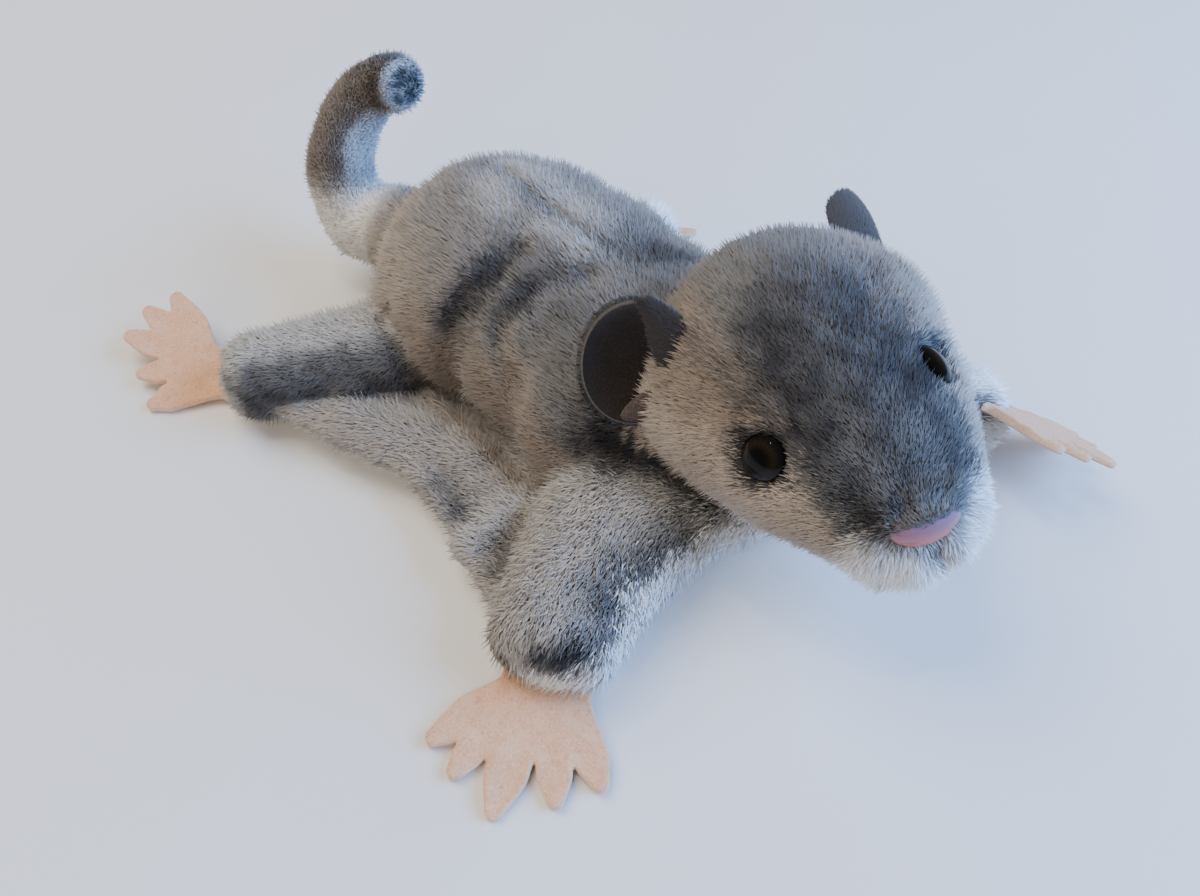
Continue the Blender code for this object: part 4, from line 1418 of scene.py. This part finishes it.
class GLIDER_OT_felt(bpy.types.Operator):
    """Cuts the felt hands and feet and lays each on its wrist"""

    bl_idname = "glider.felt"
    bl_label = "Felt Hands and Feet"

    def execute(self, context):
        finish = felt_finish()
        for name, (corners, side, tuck, wrist, forward, normal) in FELT_PIECES.items():
            plate = self.plate(name, felt_outline(corners, side, tuck))
            points = read_rows(plate.vertices, "co") / MM
            facing = read_rows(plate.vertex_normals, "vector")[:, 2]
            cut = 1 - ease(0.35, 0.85, np.abs(facing))
            upper = ease(-0.2, 0.6, facing)
            points[:, 2] += 0.35 * noise(points * (1, 1, 0), 5.0, TABLES[1]) * upper
            reach = ease(12, 34, points[:, 0])
            points[:, 2] -= 0.9 * reach * np.cos(points[:, 1] * 0.35) ** 2 * upper
            axes = facing_axes(normal, np.cross(normal, forward))
            thin = np.where(points[:, 2] > 0, 1.0, 0.05)
            placed = points @ axes + wrist
            placed[:, 2] = np.maximum(placed[:, 2], thin)
            move_points(plate, placed)
            plate.update()
            plate.shade_smooth()
            store(plate, "cut", cut)
            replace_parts(show(name + "_felt", plate, finish.material), name)
        return {"FINISHED"}

    def plate(self, name, outline):
        """A flat plate of felt's thickness inside the outline, with its edges worn round."""
        curve = bpy.data.curves.new(name, "CURVE")
        curve.dimensions = "2D"
        curve.fill_mode = "BOTH"
        curve.extrude = FELT * MM / 2
        spline = curve.splines.new("POLY")
        spline.points.add(len(outline) - 1)
        flat = np.zeros((len(outline), 4))
        flat[:, :2] = outline * MM
        flat[:, 3] = 1
        spline.points.foreach_set("co", flat.ravel())
        spline.use_cyclic_u = True
        obj = added(name + "_plate", curve)
        shape = added(name, evaluated(obj))
        bpy.data.objects.remove(obj)
        grain = shape.modifiers.new("grain", "REMESH")
        grain.mode = "VOXEL"
        grain.voxel_size = FELT_CELL * MM
        worn = shape.modifiers.new("worn", "SMOOTH")
        worn.iterations = 3
        mesh = settled(shape)
        bpy.data.objects.remove(shape)
        return mesh


# The folds sewn into the right ear, as two curves each in shares along its base and outward and
# in millimetres over its rim: the free edge of the fold, then the line it is sewn down along.
EAR_FOLDS = {
    "ear_right_tuck": (
        ((1.0, 0.33, 0.3), (0.73, 0.0, 1.6), (0.4, -0.23, 2.8), (0.15, -0.5, 4.0)),
        ((1.02, 0.1, 0.3), (0.95, -0.35, 1.0), (0.8, -0.7, 2.0), (0.5, -1.0, 3.0)),
    ),
    "ear_right_flap": (
        ((-1.0, 0.0, 0.6), (-0.72, -0.06, 2.2), (-0.42, -0.24, 3.6), (-0.1, -0.6, 5.0)),
        ((-1.02, -0.2, 0.2), (-0.95, -0.5, 0.8), (-0.8, -0.8, 1.6), (-0.5, -1.0, 2.6)),
    ),
}


# The marks of the ears' pile, and the paler ones painted at the upper end of the left ear as light
# falling on it.
EAR_TONE = np.array((0.96, 0.0, 0.08))
EAR_PAINTED_LIGHT_TONE = np.array((0.93, 0.0, 0.15))


def turned_to(points, faces, probe, direction):
    """The faces, turned round if the probed one looks away from direction."""
    a, b, c = points[faces[probe]]
    return faces[:, ::-1] if np.cross(b - a, c - a) @ direction < 0 else faces


def point_normals(points, faces):
    """Each point's normal: the mean of those of the triangles round it, by area."""
    a, b, c = np.moveaxis(points[faces], 1, 0)
    normals = np.zeros_like(points)
    for corner in range(3):
        np.add.at(normals, faces[:, corner], np.cross(b - a, c - a))
    return unit(normals)


class GLIDER_OT_ears(bpy.types.Operator):
    """Makes the two ears: suede lined with plush, one open with sewn folds and one rolled up"""

    bl_idname = "glider.ears"
    bl_label = "Lined Ears"

    def execute(self, context):
        suede = suede_finish("suede", 1.0).material
        # The flap's fold is the same suede as the ear's, made four times as bright.
        worn = suede_finish("suede_fold", 4.0).material
        edge = cut_edge_finish().material
        back = plush_finish("ear_back")
        back.bump(back.speckle(0.0009, 3.0, 0.7), 0.8, 0.001)
        materials = (suede, back.material, edge)
        backs = []
        for name, ear in EARS.items():
            points, faces, shares = self.cup(*ear)
            piece = self.sewn(name + "_cloth", points, faces, materials, EAR_CLOTH)
            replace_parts(piece, name)
            backs.append((name, points, faces[:, ::-1], shares, EAR_TUFTS, EAR_CLOTH))
        points, faces = self.fold("ear_right_tuck")
        self.sewn("ear_right_tuck", points, faces, (back.material, suede, edge), FOLD_CLOTH)
        shares = np.full((len(points), 2), 0.9)
        backs.append(("ear_right", points, faces, shares, FOLD_TUFTS, 0.0))
        points, faces = self.fold("ear_right_flap")
        self.sewn("ear_right_flap", points, faces, (worn, worn, edge), FOLD_CLOTH)
        self.pile(backs, context.scene.glider_pile)
        return {"FINISHED"}

    def sewn(self, name, points, faces, materials, thick):
        """A piece of cloth with a front, a back and a cut edge."""
        mesh = write_mesh(name, points, faces)
        piece = show(name, mesh, materials[0])
        mesh.materials.append(materials[1])
        mesh.materials.append(materials[2])
        store(mesh, "marks", np.tile((1.0, 0.0, 0.1), (len(points), 1)))
        store(mesh, "height", np.full(len(points), 0.5))
        store(mesh, "chance", 0.5 + 0.5 * noise(points, 1.2, TABLES[0]))
        cloth = piece.modifiers.new("cloth", "SOLIDIFY")
        cloth.thickness = thick * MM
        cloth.offset = -1
        cloth.material_offset = 1
        cloth.material_offset_rim = 2
        return piece

    def cup(self, *ear):
        """The inside of an ear, in rings round its middle, rolled round its outward axis.

        A ring's share of the way to the rim sets its depth; its place along the base is bent
        round a cylinder by the roll's radius. Also gives each point's shares along and outward.
        """
        middle, axes, sizes = ear_place(*ear)
        roll = ear[-2]
        share = np.sin(np.linspace(0, 1, EAR_RINGS + 1)[1:] * math.pi / 2)[:, None]
        turn = np.linspace(0, 2 * math.pi, EAR_SIDES, endpoint=False)[None]
        along = (share * np.cos(turn)).ravel()
        over = (share * np.sin(turn)).ravel()
        depth = (cup_depth(share) * np.ones_like(turn)).ravel()
        along = np.append(along, 0)
        over = np.append(over, 0)
        depth = np.append(depth, -EAR_CUP) * (ROLLED_CUP if roll < ROLLED_RADIUS else 1)
        bent = along * sizes[0] / roll
        own = np.stack([roll * np.sin(bent), over * sizes[1], roll * (1 - np.cos(bent)) + depth], 1)
        j = np.arange(EAR_SIDES)
        k = (j + 1) % EAR_SIDES
        row = EAR_SIDES * np.arange(EAR_RINGS - 1)[:, None]
        beyond = row + EAR_SIDES
        faces = [
            np.stack([np.full(EAR_SIDES, len(own) - 1), j, k], 1),
            np.stack([row + j, beyond + j, beyond + k], 2).reshape(-1, 3),
            np.stack([row + j, beyond + k, row + k], 2).reshape(-1, 3),
        ]
        points = own @ axes + middle
        faces = turned_to(points, np.concatenate(faces), 0, axes[2])
        return from_head(points), faces, np.stack([along, over], 1)

    def fold(self, name):
        """A strip of the right ear's cloth between two curves, swollen a little between them."""
        free, sewn = EAR_FOLDS[name]
        middle, axes, sizes = ear_place(*EARS["ear_right"])
        free = smooth(np.array(free) * (*sizes, 1), FOLD_ROWS)[0]
        sewn = smooth(np.array(sewn) * (*sizes, 1), FOLD_ROWS)[0]
        across = np.linspace(0, 1, FOLD_STEPS)[None, :, None]
        own = free[:, None] * (1 - across) + sewn[:, None] * across
        own[..., 2] += 1.2 * np.sin(np.linspace(0, math.pi, FOLD_STEPS))[None]
        i = np.arange(FOLD_ROWS - 1)[:, None] * FOLD_STEPS + np.arange(FOLD_STEPS - 1)
        i = i.ravel()
        over = i + FOLD_STEPS
        halves = (np.stack([i, over, over + 1], 1), np.stack([i, over + 1, i + 1], 1))
        faces = np.concatenate(halves)
        points = own.reshape(-1, 3) @ axes + middle
        return from_head(points), turned_to(points, faces, 100, axes[2])

    def pile(self, backs, pile):
        """Short tufts on the plush side of the ears, lying outward."""
        draw = np.random.default_rng(EAR_SEED)
        tufts, normals, marks, chances, places = [], [], [], [], []
        for number, (ear, points, faces, shares, total, lift) in enumerate(backs):
            spots = scatter(points, faces, np.ones(len(points)), total, draw)
            normal = unit(at_roots(point_normals(points, faces), *spots))
            root = at_roots(points, *spots) + lift * normal
            place = at_roots(shares, *spots)
            axes = ear_place(*EARS[ear])[1] @ HEAD_AXES
            chance = draw.random(total)
            lie = axes[1] + 0.3 * draw.normal(size=(total, 3))
            lie = unit(level(lie, normal))
            length = (2.0 + 0.8 * chance) * pile.length
            width = np.full(total, pile.tuft_width / MM)
            rise = np.full(total, 0.6)
            tufts.append(tuft_shape(root, normal, lie, length, width, rise, draw))
            # Painted light: the left ear's pile paler toward one end of its base, where light falls
            # on it.
            light = ease(-0.1, 0.5, place[:, 0] + 0.2 * draw.normal(size=total))
            light = light * (ear == "ear_left")
            marks.append(EAR_TONE + (EAR_PAINTED_LIGHT_TONE - EAR_TONE) * light[:, None])
            normals.append(normal)
            chances.append(chance)
            places.append(place + (3 * number, 0))
        parts = (tufts, normals, marks, chances, places)
        write_coat("coat_ears", *map(np.concatenate, parts), plush_finish("ear_pile"), "plush_grey")


def ball(rings, sides):
    """How far across, up and forward the points of a ball are, in rings from front to back."""
    fall = np.linspace(0, math.pi, rings)[:, None]
    turn = np.linspace(0, 2 * math.pi, sides, endpoint=False)[None]
    forward = np.cos(fall) * np.ones_like(turn)
    return np.sin(fall) * np.cos(turn), np.sin(fall) * np.sin(turn), forward


def outward_faces(points, faces):
    """The faces of a closed surface, turned round if they enclose a negative volume."""
    a, b, c = np.moveaxis(points[faces], 1, 0)
    return faces[:, ::-1] if (np.cross(a, b) * c).sum() < 0 else faces


class GLIDER_OT_eyes(bpy.types.Operator):
    """Turns the two glossy moulded eyes"""

    bl_idname = "glider.eyes"
    bl_label = "Moulded Eyes"

    def execute(self, context):
        material = eye_finish().material
        for name, side in (("eye_right", -1), ("eye_left", 1)):
            centre, axes = eye_place(side)
            across, over, front = ball(*EYE_GRID)
            front = front * np.where(front > 0, EYE_DOME, EYE_BACK)
            own = np.stack([across * EYE_RADIUS, over * EYE_RADIUS, front], axis=2)
            points, faces = closed_grid(from_head(own @ axes + centre))
            inner = np.concatenate([own[1:-1].reshape(-1, 3), own[0, :1], own[-1, :1]])
            out = np.hypot(inner[:, 0], inner[:, 1]) / EYE_RADIUS
            turn = np.arctan2(inner[:, 1], inner[:, 0])
            rays = 0.5 + 0.22 * np.sin(23 * turn) + 0.18 * np.sin(41 * turn + 2)
            mesh = write_mesh(name + "_dome", points, outward_faces(points, faces))
            store(mesh, "out", out)
            store(mesh, "rays", rays)
            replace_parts(show(name + "_dome", mesh, material), name)
        return {"FINISHED"}


class GLIDER_OT_nose(bpy.types.Operator):
    """Moulds the nose: a broad crescent with two shallow nostrils"""

    bl_idname = "glider.nose"
    bl_label = "Moulded Nose"

    def execute(self, context):
        centre, axes = nose_place()
        across, over, front = ball(*NOSE_GRID)
        dip = np.zeros_like(across)
        for side in (-1, 1):
            away = np.hypot((across - side * 0.62) / 0.24, (over + 0.55) / 0.2)
            dip += ease(1, 0, away) * ease(0, 0.2, front)
        size = np.array(NOSE_SIZE)
        own = np.stack([across, over, front], axis=2) * size
        own[..., 1] += 0.5 * (across**2)
        own[..., 2] -= 0.9 * dip
        points, faces = closed_grid(from_head(own @ axes + centre))
        flat = over[1:-1].reshape(-1)
        # low says how far down the nose a point lies, for the finish's painted light and shade.
        low = np.concatenate([ease(0.2, -0.8, flat), [0.3, 0.3]])
        groove = np.concatenate([dip[1:-1].reshape(-1), [0, 0]])
        mesh = write_mesh("nose_moulding", points, outward_faces(points, faces))
        store(mesh, "low", low)
        store(mesh, "groove", groove)
        piece = show("nose_moulding", mesh, nose_finish().material)
        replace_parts(piece, "nose")
        return {"FINISHED"}


def flat_sheet(name, size, height):
    """A square of the given half size at a height, in metres."""
    mesh = bpy.data.meshes.new(name)
    corners = ((-size, -size, height), (size, -size, height), (size, size, height))
    mesh.from_pydata((*corners, (-size, size, height)), (), ((0, 1, 2, 3),))
    return mesh


class GLIDER_OT_stage(bpy.types.Operator):
    """Lays the pale floor, hangs the soft lights and sets the camera"""

    bl_idname = "glider.stage"
    bl_label = "Stage"

    def execute(self, context):
        stage = context.scene.glider_stage
        floor = added("floor", flat_sheet("floor", FLOOR_SIZE, 0.0))
        floor.data.materials.append(floor_finish().material)
        for name, place, size, colour, power, glossy in LIGHTS:
            lamp = bpy.data.lights.new(name, "AREA")
            lamp.shape = "DISK"
            lamp.size = size
            lamp.color = colour
            lamp.energy = power * stage.brightness
            obj = added(name, lamp)
            obj.location = place
            aim = Vector(LIT_POINT) - Vector(place)
            obj.rotation_euler = aim.to_track_quat("-Z", "Y").to_euler()
            obj.visible_glossy = glossy
        world = bpy.data.worlds.new("studio")
        world.use_nodes = True
        background = world.node_tree.nodes["Background"]
        background.inputs["Color"].default_value = solid(SKY_COLOUR)
        background.inputs["Strength"].default_value = SKY_STRENGTH * stage.brightness
        context.scene.world = world
        camera = bpy.data.cameras.new("camera")
        camera.lens = CAMERA_LENS
        camera.clip_start = 0.01
        obj = added("camera", camera)
        obj.location = CAMERA_AT
        obj.rotation_euler = [math.radians(turn) for turn in CAMERA_TURN]
        context.scene.camera = obj
        return {"FINISHED"}


# The camera's place, turn and lens, the point the lights are aimed at, the sky's colour and
# strength, and half the width of the floor.
CAMERA_AT = (-0.1543, -0.1594, 0.2500)
CAMERA_TURN = (40.0, 0.0, -46.46)
CAMERA_LENS = 31.5
LIT_POINT = (0, 0, 0.02)
SKY_COLOUR = (1.0, 0.97, 0.93)
SKY_STRENGTH = 0.30
FLOOR_SIZE = 3.0

# Each light's name, its place in metres, its size, its colour, its power in watts, and whether
# it shows in glossy surfaces.
LIGHTS = (
    ("window", (0.55, -0.68, 0.50), 1.0, (0.22, 0.46, 1.0), 37.0, False),
    ("ceiling", (-0.12, 0.60, 1.0), 0.9, (1.0, 0.93, 0.83), 12.0, False),
    ("lamp", (-0.75, -0.15, 0.55), 0.6, (1.0, 0.86, 0.70), 3.0, False),
    ("glint", (-0.10, 0.10, 1.20), 0.04, (1.0, 1.0, 1.0), 1.2, True),
)


def measure_property(name, description, default, low, high):
    """A panel entry for a length in metres."""
    return bpy.props.FloatProperty(
        name=name, description=description, default=default, min=low, max=high,
        subtype="DISTANCE", unit="LENGTH",
    )


def share_property(name, description, low, high):
    """A panel entry for a share of the usual value."""
    return bpy.props.FloatProperty(
        name=name, description=description, default=1.0, min=low, max=high, subtype="FACTOR"
    )


def colour_property(name, description, default):
    """A panel entry for a colour."""
    return bpy.props.FloatVectorProperty(
        name=name, description=description, default=default, min=0, max=1, subtype="COLOR", size=3
    )


class PileSettings(bpy.types.PropertyGroup):
    """The sizes of the cloth and its pile."""

    tufts: bpy.props.IntProperty(
        name="Tufts",
        description="How many tufts of pile the whole toy has",
        default=228000,
        min=1000,
        max=250000,
    )
    tuft_width: measure_property(
        "Tuft Width", "How wide a tuft is where it is widest", 0.00044, 0.0001, 0.003
    )
    length: share_property("Pile Length", "Length of every tuft by its own length", 0.3, 2.0)
    cloth_grain: measure_property(
        "Cloth Grain", "Size of the cells the stuffed parts are welded by", 0.0013, 0.0008, 0.004
    )


class ColourSettings(bpy.types.PropertyGroup):
    """The colours of the pile, felt, suede, eyes and nose."""

    grey_tip: colour_property("Grey Tips", "Tips of the grey pile", (0.205, 0.205, 0.20))
    grey_root: colour_property("Grey Roots", "Roots of the grey pile", (0.15, 0.15, 0.15))
    dark_tip: colour_property("Dark Tips", "Tips in the dark markings", (0.019, 0.0185, 0.022))
    dark_root: colour_property("Dark Roots", "Roots in dark markings", (0.012, 0.011, 0.011))
    beige_tip: colour_property("Beige Tips", "Tips on cheeks and flanks", (0.35, 0.265, 0.195))
    beige_root: colour_property("Beige Roots", "Roots on cheeks, flanks", (0.28, 0.22, 0.165))
    white_tip: colour_property("White Tips", "Tips underneath and in front", (0.92, 0.90, 0.86))
    white_root: colour_property("White Roots", "Roots in the white pile", (0.78, 0.75, 0.70))
    felt: colour_property("Felt", "Hands and feet", (0.80, 0.42, 0.235))
    suede: colour_property("Suede", "Inside of the ears", (0.012, 0.0085, 0.007))
    iris: colour_property("Iris", "The brown of the eyes", (0.045, 0.026, 0.012))
    nose: colour_property("Nose", "The moulded nose", (0.44, 0.12, 0.085))


class StageSettings(bpy.types.PropertyGroup):
    """The floor and lights."""

    floor: colour_property("Floor", "The floor under the toy", (0.76, 0.73, 0.69))
    brightness: share_property("Brightness", "Strength of all lights together", 0.0, 10.0)


class GLIDER_PT_panel(bpy.types.Panel):
    """Lists the toy's settings and its pieces."""

    bl_label = "Plush Glider"
    bl_idname = "GLIDER_PT_panel"
    bl_space_type = "VIEW_3D"
    bl_region_type = "UI"
    bl_category = "Plush Glider"

    def draw(self, context):
        for group in SETTINGS:
            settings = getattr(context.scene, group)
            for name in settings.__annotations__:
                self.layout.prop(settings, name)
        for operator in OPERATORS:
            self.layout.operator(operator.bl_idname)


SETTINGS = {
    "glider_pile": PileSettings,
    "glider_colours": ColourSettings,
    "glider_stage": StageSettings,
}
OPERATORS = (
    GLIDER_OT_skin,
    GLIDER_OT_coat,
    GLIDER_OT_felt,
    GLIDER_OT_ears,
    GLIDER_OT_eyes,
    GLIDER_OT_nose,
    GLIDER_OT_stage,
)


def register():
    """Adds the toy's settings, operators and panel."""
    for name, group in SETTINGS.items():
        bpy.utils.register_class(group)
        setattr(bpy.types.Scene, name, bpy.props.PointerProperty(type=group))
    for operator in OPERATORS:
        bpy.utils.register_class(operator)
    bpy.utils.register_class(GLIDER_PT_panel)


def unregister():
    """Takes them away again."""
    bpy.utils.unregister_class(GLIDER_PT_panel)
    for operator in reversed(OPERATORS):
        bpy.utils.unregister_class(operator)
    for name, group in SETTINGS.items():
        delattr(bpy.types.Scene, name)
        bpy.utils.unregister_class(group)


def main():
    """Makes every piece in order."""
    register()
    bpy.ops.glider.skin()
    bpy.ops.glider.coat()
    bpy.ops.glider.felt()
    bpy.ops.glider.ears()
    bpy.ops.glider.eyes()
    bpy.ops.glider.nose()
    bpy.ops.glider.stage()


if __name__ == "__main__":
    main()
